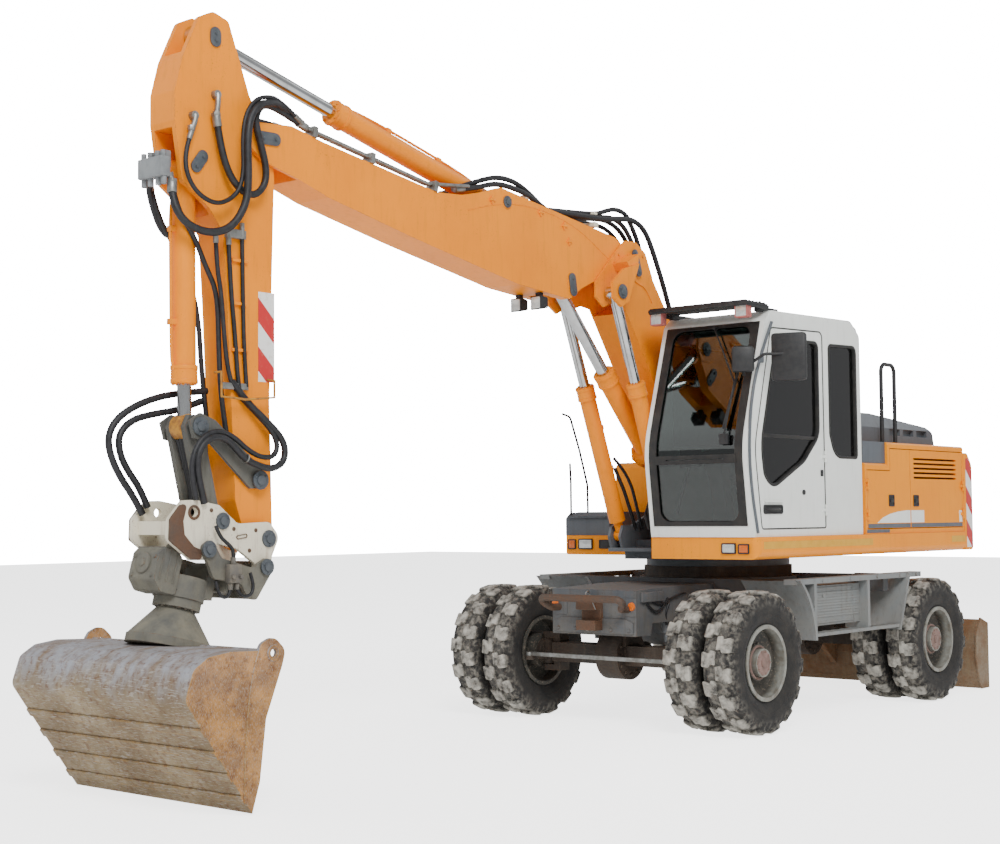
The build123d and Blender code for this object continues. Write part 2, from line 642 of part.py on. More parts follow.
def export_cab():
    outer = rounded(cab_side, cab_radii, cab_right, cab_left)
    inner = plate_of(shrink(cab_side, cab_radii, cab_wall), cab_right + cab_wall, cab_left - cab_wall)
    shell = outer - inner
    wall_in = cab_left - cab_wall - 20
    shell -= rounded(door_outline, door_radii, wall_in, cab_left + 20)
    shell -= rounded(quarter_window, quarter_radii, wall_in, cab_left + 20)
    shell -= box(side_window[0], side_window[1], cab_right - 20, cab_right + cab_wall + 20,
                 side_window[2], side_window[3])
    shell -= box(cab_rear - 20, cab_rear + cab_wall + 20, *rear_window_y, *rear_window_z)
    shell -= box(1100, 1600, *screen_y, *screen_z)
    door = plate_of(shrink(door_outline, door_radii, door_gap), cab_left - cab_wall, cab_left)
    door -= rounded(door_window, door_window_radii, wall_in, cab_left + 20)
    for z in (1640, 2060):
        fixed, moving = hinge(door_outline[0][0] + door_gap / 2, cab_left + 12, z, 1, cab_wall)
        shell += fixed
        door += moving
    save("cab_shell", shell)
    save("cab_door", door)
    pane_y = cab_left - cab_wall / 2
    save("door_glass", plate_of(shrink(door_window, door_window_radii, seat_gap), pane_y - glass_thick, pane_y))
    panes = [plate_of(shrink(quarter_window, quarter_radii, seat_gap), pane_y - glass_thick, pane_y)]
    right_y = cab_right + cab_wall / 2
    panes.append(box(side_window[0] + seat_gap, side_window[1] - seat_gap, right_y, right_y + glass_thick,
                     side_window[2] + seat_gap, side_window[3] - seat_gap))
    rear_x = cab_rear + cab_wall / 2
    panes.append(box(rear_x, rear_x + glass_thick, rear_window_y[0] + seat_gap, rear_window_y[1] - seat_gap,
                     rear_window_z[0] + seat_gap, rear_window_z[1] - seat_gap))
    front = plate_of(shrink(cab_side, cab_radii, 12), screen_y[0] + seat_gap, screen_y[1] - seat_gap)
    front -= plate_of(shrink(cab_side, cab_radii, 12 + glass_thick), cab_right, cab_left)
    panes.append(front & box(1100, 1600, cab_right, cab_left, screen_z[0] + seat_gap, screen_z[1] - seat_gap))
    save("cab_glass", panes)


def export_cab_inside():
    floor = cab_floor + cab_wall + seat_gap
    middle = (cab_right + cab_left) / 2
    controls = box(170, 560, middle - 200, middle + 200, floor, 1890)
    for side in (1, -1):
        controls += rounded([(190, 1850), (190, 2180), (640, 2180), (760, 2080), (760, 1980), (640, 1850)],
                            [20, 30, 60, 30, 20, 40], middle + side * 275, middle + side * 385)
        controls += box(200, 540, middle + side * 190, middle + side * 280, 1850, 1885)
        controls += pin_z(640, middle + side * 330, 14, 2150, 2300)
    column = Pos(1105, middle, 1720) * Rot(0, 12, 0)
    controls += column * box(-50, 50, -60, 60, -250, 360)
    grip = [(steering_radius + 15 * math.cos(math.radians(turn)), 15 * math.sin(math.radians(turn)))
            for turn in range(0, 360, 60)]
    controls += column * Pos(0, 0, 360) * revolve(Plane.XZ * make_face(Polyline(*grip, close=True)), axis=Axis.Z)
    controls += column * Pos(0, 0, 360) * Box(340, 34, 16)
    controls = controls.cut(box(-300, 1500, cab_right, cab_left, cab_floor - 50, floor))
    save("cab_controls", controls)
    seat = rounded([(150, 1890.3), (150, 2020), (640, 2040), (690, 1990), (660, 1890.3)], [20, 40, 40, 40, 30],
                   middle - 250, middle + 250)
    back = rounded([(60, 2030), (-30, 2640), (40, 2700), (110, 2690), (215, 2010)], [30, 60, 40, 40, 30],
                   middle - 245, middle + 245)
    save("driver_seat", seat + back)


def export_cab_fittings():
    # Roof visor, mirrors on their arms and the lamps
    visor = box(1130, 1420, cab_right + 10, cab_left - 10, 3178, 3196)
    for y in (cab_right + 60, cab_left - 90):
        visor += box(900, 1200, y, y + 30, 3140, 3180)
    visor = visor.cut(plate_of(offset(corner_face(cab_side, cab_radii), seat_gap), cab_right - 1, cab_left + 1))
    arms = tube_path([(1290, 1150, 2700), (1385, 1150, 2700), (1385, 1330, 2790), (1270, 1450, 2795)], 11, 30)
    arms += tube_path([(1385, 1150, 2640), (1385, 1150, 2700), (1425, 1170, 2745)], 11, 12)
    arms += Pos(1255, 1460, 2770) * Rot(0, 0, 18) * Box(50, 245, 340)
    arms += Pos(1430, 1172, 2760) * Rot(0, 0, 30) * Box(44, 150, 180)
    cab_clear = plate_of(offset(corner_face(cab_side, cab_radii), seat_gap), cab_right - 1, cab_left + seat_gap)
    save("cab_fittings", visor, arms.cut(cab_clear))
    lamps = [box(deck_front_left + seat_gap, deck_front_left + 14, 990, 1100, 1320, 1395),
             box(deck_front_left + seat_gap, deck_front_left + 14, 1120, 1180, 1320, 1395),
             box(deck_front_right + seat_gap, deck_front_right + 14, -1080, -970, 1320, 1395),
             box(deck_front_right + seat_gap, deck_front_right + 14, -1180, -1120, 1320, 1395)]
    for y in (cab_right + 60, cab_left - 90):
        lamps.append(box(1330, 1400, y - 45, y + 65, 3070, 3178 - seat_gap))
    save("lamps", lamps)


# Booms

def export_base_boom():
    base = poly([(60, 1660), (220, 1655), (560, 1850), (1230, 2855), (1500, 3245), (1520, 3330), (1130, 3520),
                 (925, 3255), (-5, 1860)], -head_half, head_half)
    base += pin_y(foot_pin, 118, -head_half - 5, head_half + 5)
    base -= pin_y(foot_pin, 48 + pin_gap, -300, 300)
    base += poly([(1105, 3500), (1200, 3690), (1330, 3765), (1470, 3760), (1560, 3690), (1860, 3400), (1860, 3280),
                  (1760, 3210), (1620, 3260), (1500, 3245)], -head_half, head_half)
    base -= poly([(1130, 3330), (1470, 3190), (1900, 3100), (2000, 3500), (1500, 3900), (1000, 3800), (1050, 3560)],
                 -head_inner, head_inner)
    for side in (1, -1):
        base += poly([(1500, 3560), (1700, 3500), (1850, 3380), (1840, 3260), (1740, 3200), (1640, 3250)],
                     side * hoist_outer, side * (hoist_outer + 24))
        base += poly([(1480, 3640), (1640, 3560), (1600, 3500), (1500, 3520)],
                     side * (head_half - 2), side * (hoist_outer + 8))
        base += pin_y(joint_pin, 70, side * (head_inner + 2), side * (head_half + 18))
        base += poly([(620, 1940), (930, 2010), (1040, 2060), (1050, 2150), (980, 2190), (800, 2215)],
                     side * 80, side * 104)
        base += pin_y(hoist_eye_pin, 40, side * (hoist_outer + 20), side * (hoist_outer + 34))
    base += pin_y(joint_pin, 50, -head_half, head_half)
    base += pin_y(adjust_base_pin, 38, -90, 90)
    save("base_boom", base, place=boom_place)


def export_upper_boom():
    upper = rounded(
        [(1440, 3700), (1580, 3775), (2745, 3935), (2950, 3965), (3195, 3890), (3370, 3850), (3620, 3830),
         (4690, 3995), (4960, 4050), (5240, 4025), (5320, 3880), (5190, 3790), (4905, 3725), (4640, 3645),
         (3850, 3485), (2755, 3285), (2155, 3235), (2020, 3325), (1865, 3395), (1440, 3470)],
        [60, 60, 0, 60, 60, 60, 60, 0, 60, 60, 60, 0, 0, 0, 0, 0, 60, 40, 60, 60], -boom_half, boom_half)
    upper += pin_y(joint_pin, 128, -boom_half, boom_half)
    upper -= pin_y(joint_pin, 50 + pin_gap, -200, 200)
    upper -= poly([(1950, 3100), (1960, 3480), (2330, 3480), (2420, 3100)], -72, 72)
    upper -= poly([(2760, 4000), (2780, 3790), (3000, 3760), (3500, 3800), (3500, 4100)], -92, 92)
    upper -= box(4900, 5450, -stick_half - 9, stick_half + 9, 3600, 4150)
    for pin in (stick_base_pin, adjust_eye_pin):
        for side in (1, -1):
            upper += pin_y(pin, 52, side * (boom_half - 2), side * (boom_half + 4))
    upper += pin_y(stick_base_pin, 40, -95, 95) + pin_y(stick_pivot, 45, -boom_half, boom_half)
    save("upper_boom", upper, place=boom_place)
    lights = []
    for side in (1, -1):
        y0 = side * boom_lamp_y - boom_lamp_half
        y1 = side * boom_lamp_y + boom_lamp_half
        light = rounded([(2498, 3128), (2498, 3233), (2414, 3222), (2414, 3145)], [8, 8, 14, 14], y0, y1)
        lights.append(light + box(2436, 2476, side * boom_lamp_y - 20, side * boom_lamp_y + 20,
                                  3215, 3258.4 - seat_gap))
    save("boom_lamps", lights, place=boom_place)
    pipes = []
    for y in (105, 135):
        pipes.append(tube_path([(3280, y, 3925), (3700, y, 3880), (4820, y, 4065)], 12, 80))
    for x, z in ((3640, 3832), (4250, 3927), (4765, 4010)):
        clamp = Pos(x, 120, z + 36) * Rot(0, -9, 0) * Box(36, 84, 70)
        pipes.append(clamp)
    joined = pipes[0].fuse(*pipes[1:])
    under = make_face(Polyline((1440, 3700), (2745, 3935), (2950, 3965), (3195, 3890), (3370, 3850), (3620, 3830),
                               (4690, 3995), (4960, 4050), (4960, 3800), (1440, 3600), close=True))
    keep_clear = plate_of(offset(under, seat_gap), -boom_half, boom_half)
    save("boom_pipes", joined.cut(keep_clear), place=boom_place)


def cylinder_pair(name, base, eye, y_list, bore, rod, collar_at, push, pull, base_half, eye_half, pin_base,
                  eye_radius, neck):
    # Barrels on their base pins and rods whose eyes carry the middle of the pin.
    # collar_at is the barrel's end, push and pull are the rod's travel out and in, neck is where the barrel widens
    length = distance(base, eye)
    rod_start = collar_at - push - 60
    bore_start = rod_start - pull - 20
    barrels = []
    rods = []
    for y in y_list:
        barrel = pin_y(base, eye_radius, y - base_half, y + base_half)
        if neck > 0:
            barrel += rod_along(base, eye, y, base_half - 2, pin_base + 4, neck + 10)
        barrel += rod_along(base, eye, y, bore, max(neck, eye_radius * 0.8), collar_at)
        barrel += rod_along(base, eye, y, bore * 1.12, collar_at - bore * 1.3, collar_at)
        barrel -= pin_y(base, pin_base + pin_gap, y - base_half - 5, y + base_half + 5)
        barrel -= rod_along(base, eye, y, rod + pin_gap, bore_start, collar_at + 10)
        barrels.append(barrel)
        rods.append(rod_along(base, eye, y, rod, rod_start, length)
                    + pin_y(eye, eye_radius, y - eye_half, y + eye_half))
    save(f"{name}_barrel", barrels, place=boom_place)
    save(f"{name}_rod", rods, place=boom_place)


def export_cylinders():
    # name, base pin, eye pin, planes, bore, rod, collar at, push, pull, base half, eye half, pin, eye radius, neck
    cylinder_pair("hoist", hoist_base_pin, hoist_eye_pin, (hoist_y, -hoist_y),
                  66, 42, 1275, 381, 610, 38, 46, 36, 48, 125)
    cylinder_pair("adjust", adjust_base_pin, adjust_eye_pin, (0,), 76, 48, 858, 0, 622, 74, 66, 38, 82, 0)
    cylinder_pair("stick", stick_base_pin, stick_eye_pin, (0,), 76, 46, 1640, 322, 829, 84, 70, 40, 84, 0)
    cylinder_pair("bucket", bucket_base_pin, bucket_eye_pin, (0,), 70, 42, 1270, 836, 93, 76, 46, 36, 74, 0)


def export_stick():
    stick = rounded(
        [(5440, 4610), (5560, 4645), (5665, 4590), (5790, 4320), (5845, 4110), (5845, 3935), (5790, 3590),
         (5590, 3455), (5480, 3320), (5450, 2910), (5385, 1720), (5290, 1440), (5178, 1400), (5090, 1460),
         (5115, 2330), (5095, 3070), (5075, 3720), (5110, 3900), (5275, 4185)],
        [30, 60, 60, 60, 60, 60, 40, 60, 60, 0, 60, 60, 60, 60, 0, 0, 60, 60, 60], -stick_half, stick_half)
    stick -= poly([(5200, 4900), (5290, 4362), (5900, 4362), (5900, 4900)], -78, 78)
    stick -= poly([(5590, 3900), (5560, 3600), (5560, 3300), (5900, 3300), (5900, 3900)], -82, 82)
    stick -= pin_y(stick_pivot, 45 + pin_gap, -200, 200)
    stick += pin_y(bucket_base_pin, 36, -84, 84)
    stick += pin_y(rocker_pin, 40, -160, 160)
    stick -= pin_y(coupler_pin, 38 + pin_gap, -200, 200)
    save("stick", stick, place=boom_place)


def export_linkage():
    rocker = []
    for side in (1, -1):
        arm = poly([(5170, 1790), (5290, 1790), (5600, 2060), (5720, 2080), (5750, 2180), (5670, 2230), (5560, 2190),
                    (5200, 1910)], side * rocker_inner, side * rocker_outer)
        arm -= pin_y(rocker_pin, 40 + pin_gap, side * 100, side * 180)
        rocker.append(arm + pin_y(bucket_eye_pin, 36, side * 96, side * rocker_outer))
    save("rocker", rocker, place=boom_place)
    plates = []
    for side in (1, -1):
        plates.append(poly([(5610, 2150), (5640, 2220), (5710, 2220), (5745, 2150), (5610, 1600), (5560, 1540),
                            (5490, 1560), (5480, 1620)], side * 52, side * 92))
    link = plates[0] + plates[1] + poly([(5560, 1900), (5650, 1900), (5590, 1680), (5510, 1680)], -60, 60)
    link += pin_y(link_pin, 62, -140, 140)
    link -= pin_y(link_pin, 36 + pin_gap, -200, 200)
    save("link", link, place=boom_place)


def grip_pin(reach):
    # Place of a grip pin in the boom's plane, from its reach along the tilt axis
    slope = math.radians(tilt_slope)
    return (tilt_centre[0] + reach * math.cos(slope) - grip_height * math.sin(slope),
            tilt_centre[1] + reach * math.sin(slope) + grip_height * math.cos(slope))


def export_coupler():
    coupler = None
    for side in (1, -1):
        plate = rounded([(5090, 1500), (5170, 1590), (5420, 1580), (5560, 1690), (5735, 1720), (5829, 1718),
                         (5930, 1610), (5935, 1490), (5770, 1374), (5700, 1372), (5600, 1372), (5590, 1470),
                         (5420, 1430), (5290, 1345), (5270, 1262), (5180, 1262), (5150, 1380)],
                        [60, 50, 60, 40, 40, 40, 60, 60, 40, 0, 20, 20, 0, 20, 30, 30, 30],
                        side * coupler_inner, side * coupler_outer)
        for reach in (-grip_reach, grip_reach):
            plate -= pin_y(grip_pin(reach), 34 + pin_gap, side * 140, side * 190)
        plate -= pin_y(hook_hole, hook_hole_radius, side * 140, side * 190)
        coupler = plate if coupler is None else coupler + plate
    coupler += pin_y(link_pin, 36, -coupler_outer, coupler_outer)
    coupler += pin_y(coupler_pin, 38, -coupler_outer, coupler_outer)
    coupler += box(5790, 5890, -coupler_inner - 2, coupler_inner + 2, 1520, 1600)
    save("coupler", coupler, place=boom_place)


# Tilting rotator, modelled about the tilt axis: x along it, z square to it, then turned into place

def export_rotator():
    bracket = None
    for side in (1, -1):
        plate = rounded([(-grip_reach - 62, grip_height), (-grip_reach, grip_height + 62), (-120, 120), (120, 120),
                         (grip_reach, grip_height + 62), (grip_reach + 62, grip_height), (150, -10), (-60, 10),
                         (-130, -60), (-200, -60)],
                        [30, 30, 40, 40, 30, 30, 40, 40, 20, 30], side * bracket_inner, side * bracket_outer)
        bracket = plate if bracket is None else bracket + plate
    for s in (-grip_reach, grip_reach):
        bracket += pin_y((s, grip_height), 34, -bracket_outer - 6, bracket_outer + 6)
    for s0, s1, top in ((-170, -140, 70), (0, 30, 110)):
        bracket += box(s0, s1, -bracket_inner - 2, bracket_inner + 2, -60, top)
        bracket -= Pos((s0 + s1) / 2, 0, 0) * Rot(0, 90, 0) * Cylinder(tilt_shaft + pin_gap, s1 - s0 + 2)
    save("tilt_bracket", bracket, place=boom_place * tilt_place)
    head = Pos(-65, 0, 0) * Rot(0, 90, 0) * Cylinder(tilt_shaft, 250)
    head += pin_z(rotor_offset, 0, 150, -150, -20)
    head += box(50, 120, -110, 110, -120, 60)
    head += box(110, 400, -110, 110, -110, -20)
    housing = rounded([(330, -150), (330, 70), (370, 100), (470, 100), (500, 60), (500, -90), (440, -150)],
                      [20, 30, 30, 30, 30, 40, 30], -120, 120)
    save("tilt_head", head + housing, place=boom_place * tilt_place)
    rotor = pin_z(rotor_offset, 0, 140, -205, -150 - seat_gap)
    rotor += Pos(rotor_offset, 0, -300) * Cone(250, 105, 192)
    rotor += pin_z(rotor_offset, 0, 250, -440, -390)
    seat = plate_of(offset(corner_face(bucket_outline, bucket_radii), seat_gap), -bucket_half, bucket_half)
    inside = poly([(5300, 820), (5300, 0), (6400, 0), (6400, 640), (6200, 800)], -bucket_half, bucket_half)
    bar_seat = pin_y(lip_bar, lip_bar_radius + seat_gap, -bucket_half, bucket_half)
    save("rotator", (tilt_place * rotor).cut(seat).cut(bar_seat).cut(inside), place=boom_place)


def export_bucket():
    inner_side = bucket_half - bucket_plate
    body = rounded(bucket_outline, bucket_radii, -bucket_half, bucket_half)
    cavity = [(5845, 60), (6272, 657), (6225, 798), (6140, 852), (5995, 873), (5600, 857), (5400, 820), (5400, 0)]
    body -= rounded(cavity, [0, 50, 50, 50, 50, 0, 0, 0], -inner_side, inner_side)
    body += pin_y(lip_bar, lip_bar_radius, -inner_side - 1, inner_side + 1)
    for side in (1, -1):
        body += rounded([(5845, 12), (5900, 90), (5900, 700), (5780, 925), (5690, 962), (5602, 880), (5625, 800),
                         (5745, 515), (5790, 175)], [0, 0, 0, 50, 70, 55, 50, 60, 40],
                        side * inner_side, side * bucket_half)
        body -= pin_y(bucket_eye, bucket_eye_radius, side * (inner_side - 1), side * (bucket_half + 1))
    # Four wear strips lie across the floor, which runs straight from the cutting edge to the back corner
    edge, corner = bucket_outline[:2]
    slope = math.degrees(math.atan2(corner[1] - edge[1], corner[0] - edge[0]))
    for index in range(4):
        share = 0.13 + 0.2 * index
        x = edge[0] + share * (corner[0] - edge[0]) + 3.3
        z = edge[1] + share * (corner[1] - edge[1]) - 2.3
        body += Pos(x, 0, z) * Rot(0, -slope, 0) * Box(46, 2 * bucket_half, 12)
    save("bucket", body, place=boom_place)


export_wheels()
export_axles()
export_knuckles()
export_chassis()
export_blade()
export_deck()
export_hood()
export_tank_and_rails()
export_cab()
export_cab_inside()
export_cab_fittings()
export_base_boom()
export_upper_boom()
export_cylinders()
export_stick()
export_linkage()
export_coupler()
export_rotator()
export_bucket()
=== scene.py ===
import math

import bpy
from mathutils import Matrix, Vector


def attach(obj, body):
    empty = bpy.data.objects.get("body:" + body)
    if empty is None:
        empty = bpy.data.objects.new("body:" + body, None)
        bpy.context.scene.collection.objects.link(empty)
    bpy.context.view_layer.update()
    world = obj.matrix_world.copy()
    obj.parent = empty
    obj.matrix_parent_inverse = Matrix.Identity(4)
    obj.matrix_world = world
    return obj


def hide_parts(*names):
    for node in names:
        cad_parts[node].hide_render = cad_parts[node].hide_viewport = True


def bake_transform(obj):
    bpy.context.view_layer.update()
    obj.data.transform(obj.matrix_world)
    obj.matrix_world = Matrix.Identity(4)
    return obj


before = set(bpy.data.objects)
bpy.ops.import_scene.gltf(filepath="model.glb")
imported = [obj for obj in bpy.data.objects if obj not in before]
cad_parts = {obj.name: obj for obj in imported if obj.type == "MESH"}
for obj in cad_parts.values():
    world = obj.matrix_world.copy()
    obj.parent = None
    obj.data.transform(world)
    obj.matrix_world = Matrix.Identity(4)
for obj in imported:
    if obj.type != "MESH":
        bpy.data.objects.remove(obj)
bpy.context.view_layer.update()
print("frame loaded")

# Camera at the photograph's viewing angle
cameraView = {"place": (11.798, 7.615, 1.609), "yaw": 220.3614, "pitch": 3.3133, "roll": -0.4754,
              "lens": 58.85, "sensor": 36, "farthest": 200}


def setCamera(view):
    cameraData = bpy.data.cameras.new("camera")
    cameraData.lens = view["lens"]
    cameraData.sensor_width = view["sensor"]
    cameraData.clip_end = view["farthest"]
    camera = bpy.data.objects.new("camera", cameraData)
    bpy.context.scene.collection.objects.link(camera)
    turn = Matrix.Rotation(math.radians(view["yaw"] - 90), 4, "Z")
    turn = turn @ Matrix.Rotation(math.radians(90 + view["pitch"]), 4, "X")
    turn = turn @ Matrix.Rotation(math.radians(view["roll"]), 4, "Z")
    camera.matrix_world = Matrix.Translation(view["place"]) @ turn
    bpy.context.scene.camera = camera


setCamera(cameraView)
print("camera set")

# Colours and nodes


def toLinear(hexColour):
    values = [int(hexColour[at:at + 2], 16) / 255 for at in (1, 3, 5)]
    linear = [value / 12.92 if value <= 0.04045 else ((value + 0.055) / 1.055) ** 2.4 for value in values]
    return linear + [1.0]


def addNode(material, kind, inputs=None, **settings):
    # Adds one node with its settings, and links or fills its sockets
    node = material.node_tree.nodes.new(kind)
    for key, value in settings.items():
        setattr(node, key, value)
    for key, value in (inputs or {}).items():
        if isinstance(value, bpy.types.NodeSocket):
            material.node_tree.links.new(value, node.inputs[key])
        else:
            node.inputs[key].default_value = value
    return node


def newMaterial(name):
    material = bpy.data.materials.new(name)
    material.use_nodes = True
    material.node_tree.nodes.clear()
    return material


def noiseMask(material, place, scale, low, high, detail=4.0, stretch=(1, 1, 1)):
    # Patches between 0 and 1: below low none, above high full
    mapped = addNode(material, "ShaderNodeMapping", {"Vector": place, "Scale": stretch}).outputs[0]
    grain = addNode(material, "ShaderNodeTexNoise", {"Vector": mapped, "Scale": scale, "Detail": detail,
                                                     "Roughness": 0.6}).outputs["Fac"]
    return addNode(material, "ShaderNodeMapRange",
                   {"Value": grain, "From Min": low, "From Max": high}).outputs[0]


def combine(material, operation, first, second):
    # Two masks made one, kept between 0 and 1
    return addNode(material, "ShaderNodeMath", {0: first, 1: second}, operation=operation,
                   use_clamp=True).outputs[0]


def blendColour(material, mask, under, over):
    # One colour or layer over another, as far as the mask says
    layers = [toLinear(value) if isinstance(value, str) else value for value in (under, over)]
    return addNode(material, "ShaderNodeMix", {0: mask, 6: layers[0], 7: layers[1]},
                   data_type="RGBA").outputs[2]


def bareEdges(material, radius, start, full):
    # 1 along the piece's convex edges: how far the rounded normal leaves the face's own
    soft = addNode(material, "ShaderNodeBevel", {"Radius": radius}, samples=4).outputs[0]
    face = addNode(material, "ShaderNodeNewGeometry").outputs["Normal"]
    along = addNode(material, "ShaderNodeVectorMath", {0: soft, 1: face},
                    operation="DOT_PRODUCT").outputs["Value"]
    return addNode(material, "ShaderNodeMapRange",
                   {"Value": along, "From Min": start, "From Max": full}).outputs[0]


def finish(material, colour, roughness, metallic=0.0, bump=None, depth=0.001, edge=0.003, **sockets):
    # Last part of every finish: rounded edges, the fine relief and the shader
    normal = addNode(material, "ShaderNodeBevel", {"Radius": edge}, samples=3).outputs[0] if edge else None
    if bump is not None:
        relief = {"Height": bump, "Distance": depth, "Strength": 1.0}
        if normal is not None:
            relief["Normal"] = normal
        normal = addNode(material, "ShaderNodeBump", relief).outputs[0]
    shader = addNode(material, "ShaderNodeBsdfPrincipled", {"Base Color": colour, "Roughness": roughness,
                                                            "Metallic": metallic})
    for key, value in sockets.items():
        shader.inputs[key.replace("_", " ")].default_value = value
    if normal is not None:
        material.node_tree.links.new(normal, shader.inputs["Normal"])
    addNode(material, "ShaderNodeOutputMaterial", {"Surface": shader.outputs[0]})
    return material


def enamel(name, look):
    # Sprayed two-coat machine enamel: faded patches, rain streaks, dust on what faces up, chipped edges
    paint = newMaterial(name)
    coords = addNode(paint, "ShaderNodeTexCoord")
    place = coords.outputs["Object"]
    facing = addNode(paint, "ShaderNodeSeparateXYZ", {0: coords.outputs["Normal"]}).outputs[2]
    height = addNode(paint, "ShaderNodeSeparateXYZ", {0: place}).outputs[2]
    fade = noiseMask(paint, place, 1.6, 0.35, 0.7)
    colour = blendColour(paint, fade, look["colour"], look["faded"])
    streak = noiseMask(paint, place, 5.0, 0.52, 0.78, 6.0, (5, 5, 0.6))
    streak = combine(paint, "MULTIPLY", streak, look["streaks"])
    colour = blendColour(paint, streak, colour, look["dirt"])
    speck = noiseMask(paint, place, 90.0, 0.62, 0.72, 2.0)
    patch = noiseMask(paint, place, 3.5, 0.45, 0.65)
    speck = combine(paint, "MULTIPLY", combine(paint, "MULTIPLY", speck, patch), look["specks"])
    colour = blendColour(paint, speck, colour, look["dirt"])
    up = addNode(paint, "ShaderNodeMapRange",
                 {"Value": facing, "From Min": 0.35, "From Max": 0.95}).outputs[0]
    low = addNode(paint, "ShaderNodeMapRange",
                  {"Value": height, "From Min": look["dustTop"], "From Max": 0.2})
    dust = combine(paint, "ADD", combine(paint, "MULTIPLY", up, look["dustUp"]), low.outputs[0])
    dust = combine(paint, "MULTIPLY", dust, noiseMask(paint, place, 7.0, 0.25, 0.7, 8.0))
    dust = combine(paint, "MULTIPLY", dust, look["dustAmount"])
    colour = blendColour(paint, dust, colour, look["dust"])
    chip = combine(paint, "MULTIPLY", bareEdges(paint, 0.006, 0.97, 0.80),
                   noiseMask(paint, place, 22.0, 0.5, 0.6))
    chip = combine(paint, "MULTIPLY", chip, look["chips"])
    colour = blendColour(paint, chip, colour, look["bare"])
    roughness = combine(paint, "ADD", combine(paint, "MULTIPLY", dust, 0.35), look["roughness"])
    roughness = combine(paint, "ADD", roughness, combine(paint, "MULTIPLY", streak, 0.3))
    peel = addNode(paint, "ShaderNodeTexNoise",
                   {"Vector": place, "Scale": 260.0, "Detail": 2.0}).outputs["Fac"]
    relief = combine(paint, "SUBTRACT", peel, combine(paint, "MULTIPLY", chip, 0.8))
    return finish(paint, colour, roughness, bump=relief, depth=0.0004, edge=look.get("edge", 0.004),
                  Specular_IOR_Level=0.2)


enamelLook = {
    "colour": "#FF9400", "faded": "#F48A00", "dirt": "#8A5214", "dust": "#C08A3C", "bare": "#6A4630",
    "streaks": 0.22, "specks": 0.5, "dustTop": 0.9, "dustUp": 0.2, "dustAmount": 0.35, "chips": 0.8,
    "roughness": 0.38,
}


def look(**changes):
    return {**enamelLook, **changes}


boomEnamel = enamel("boomEnamel", look())  # satin orange-yellow, soft dirt streaks down the plates
# Glossier and younger paint on the bodywork than on the boom
deckEnamel = enamel("deckEnamel",
                    look(colour="#FF9C00", faded="#F89200", roughness=0.32, streaks=0.15, chips=0.5))
# Off-white gloss of the cab, only lightly streaked
cabEnamel = enamel("cabEnamel",
                   look(colour="#F4F7F2", faded="#EBEEE9", dirt="#8C877C", dust="#C9C3B6", bare="#8A8A86",
                        streaks=0.16, specks=0.35, roughness=0.30, chips=0.35, dustAmount=0.35))
# Blue-grey satin on hood, steps and rails
hoodEnamel = enamel("hoodEnamel", look(colour="#5B6066", faded="#666B70", dirt="#3A3733", dust="#8E887C",
                                       bare="#7C7468", roughness=0.42))
# Dark grey under the deck, dusty up to the height of the wheels
chassisEnamel = enamel("chassisEnamel",
                       look(colour="#50565C", faded="#5C6166", dirt="#3B342C", dust="#857A69",
                            bare="#70513A", roughness=0.5, dustTop=1.5, dustAmount=0.75, streaks=0.45,
                            specks=0.9))
# Lighter grey of the tool chests and steps
sideEnamel = enamel("sideEnamel", look(colour="#7C8183", faded="#888C8C", dirt="#4A443B", dust="#958B7B",
                                       bare="#70513A", roughness=0.5, dustTop=1.5, dustAmount=0.55,
                                       streaks=0.4, specks=0.8))
# Grey of the cast linkage and rotator, rubbed and caked
gearEnamel = enamel("gearEnamel", look(colour="#555654", faded="#64645F", dirt="#3F3A33", dust="#A09880",
                                       bare="#7D5A3C", roughness=0.6, dustTop=2.4, dustAmount=0.7,
                                       streaks=0.5, specks=1.0, chips=1.0))
# Cream paint of the coupler, rusty where it is chipped
creamEnamel = enamel("creamEnamel", look(colour="#F0EAD6", faded="#DDD5BC", dirt="#7A4B2A", dust="#A8957A",
                                         bare="#6A3F22", roughness=0.55, dustTop=2.0, dustAmount=0.6,
                                         streaks=0.55, specks=1.0, chips=1.0))


def wheelRim(name):
    # Grey sprayed rim: the recessed dish painted dark as its shade, with brown dust patches; the lip in
    # lighter grey with dirty patches
    paint = newMaterial(name)
    place = addNode(paint, "ShaderNodeTexCoord").outputs["Object"]
    across = addNode(paint, "ShaderNodeSeparateXYZ", {0: place}).outputs[1]
    across = addNode(paint, "ShaderNodeMath", {0: across}, operation="ABSOLUTE").outputs[0]
    # Painted shade: inside the lip the recessed dish is coloured dark grey for the shade it lies in, mixed
    # with brown dust; the lip keeps the rim's lighter grey
    lip = addNode(paint, "ShaderNodeMapRange",
                  {"Value": across, "From Min": 1.235, "From Max": 1.285}).outputs[0]
    dish = blendColour(paint, noiseMask(paint, place, 8.0, 0.35, 0.65, 8.0), "#3A3B38", "#57524A")
    light = blendColour(paint, noiseMask(paint, place, 14.0, 0.4, 0.65, 8.0), "#8F9089", "#6F6A60")
    colour = blendColour(paint, lip, dish, light)
    specks = combine(paint, "MULTIPLY", noiseMask(paint, place, 70.0, 0.56, 0.66, 3.0), 0.6)
    colour = blendColour(paint, specks, colour, "#8F8472")
    grain = addNode(paint, "ShaderNodeTexNoise",
                    {"Vector": place, "Scale": 90.0, "Detail": 4.0}).outputs["Fac"]
    return finish(paint, colour, 0.62, bump=grain, depth=0.0008, edge=0.004)


wheelPaint = wheelRim("wheelPaint")


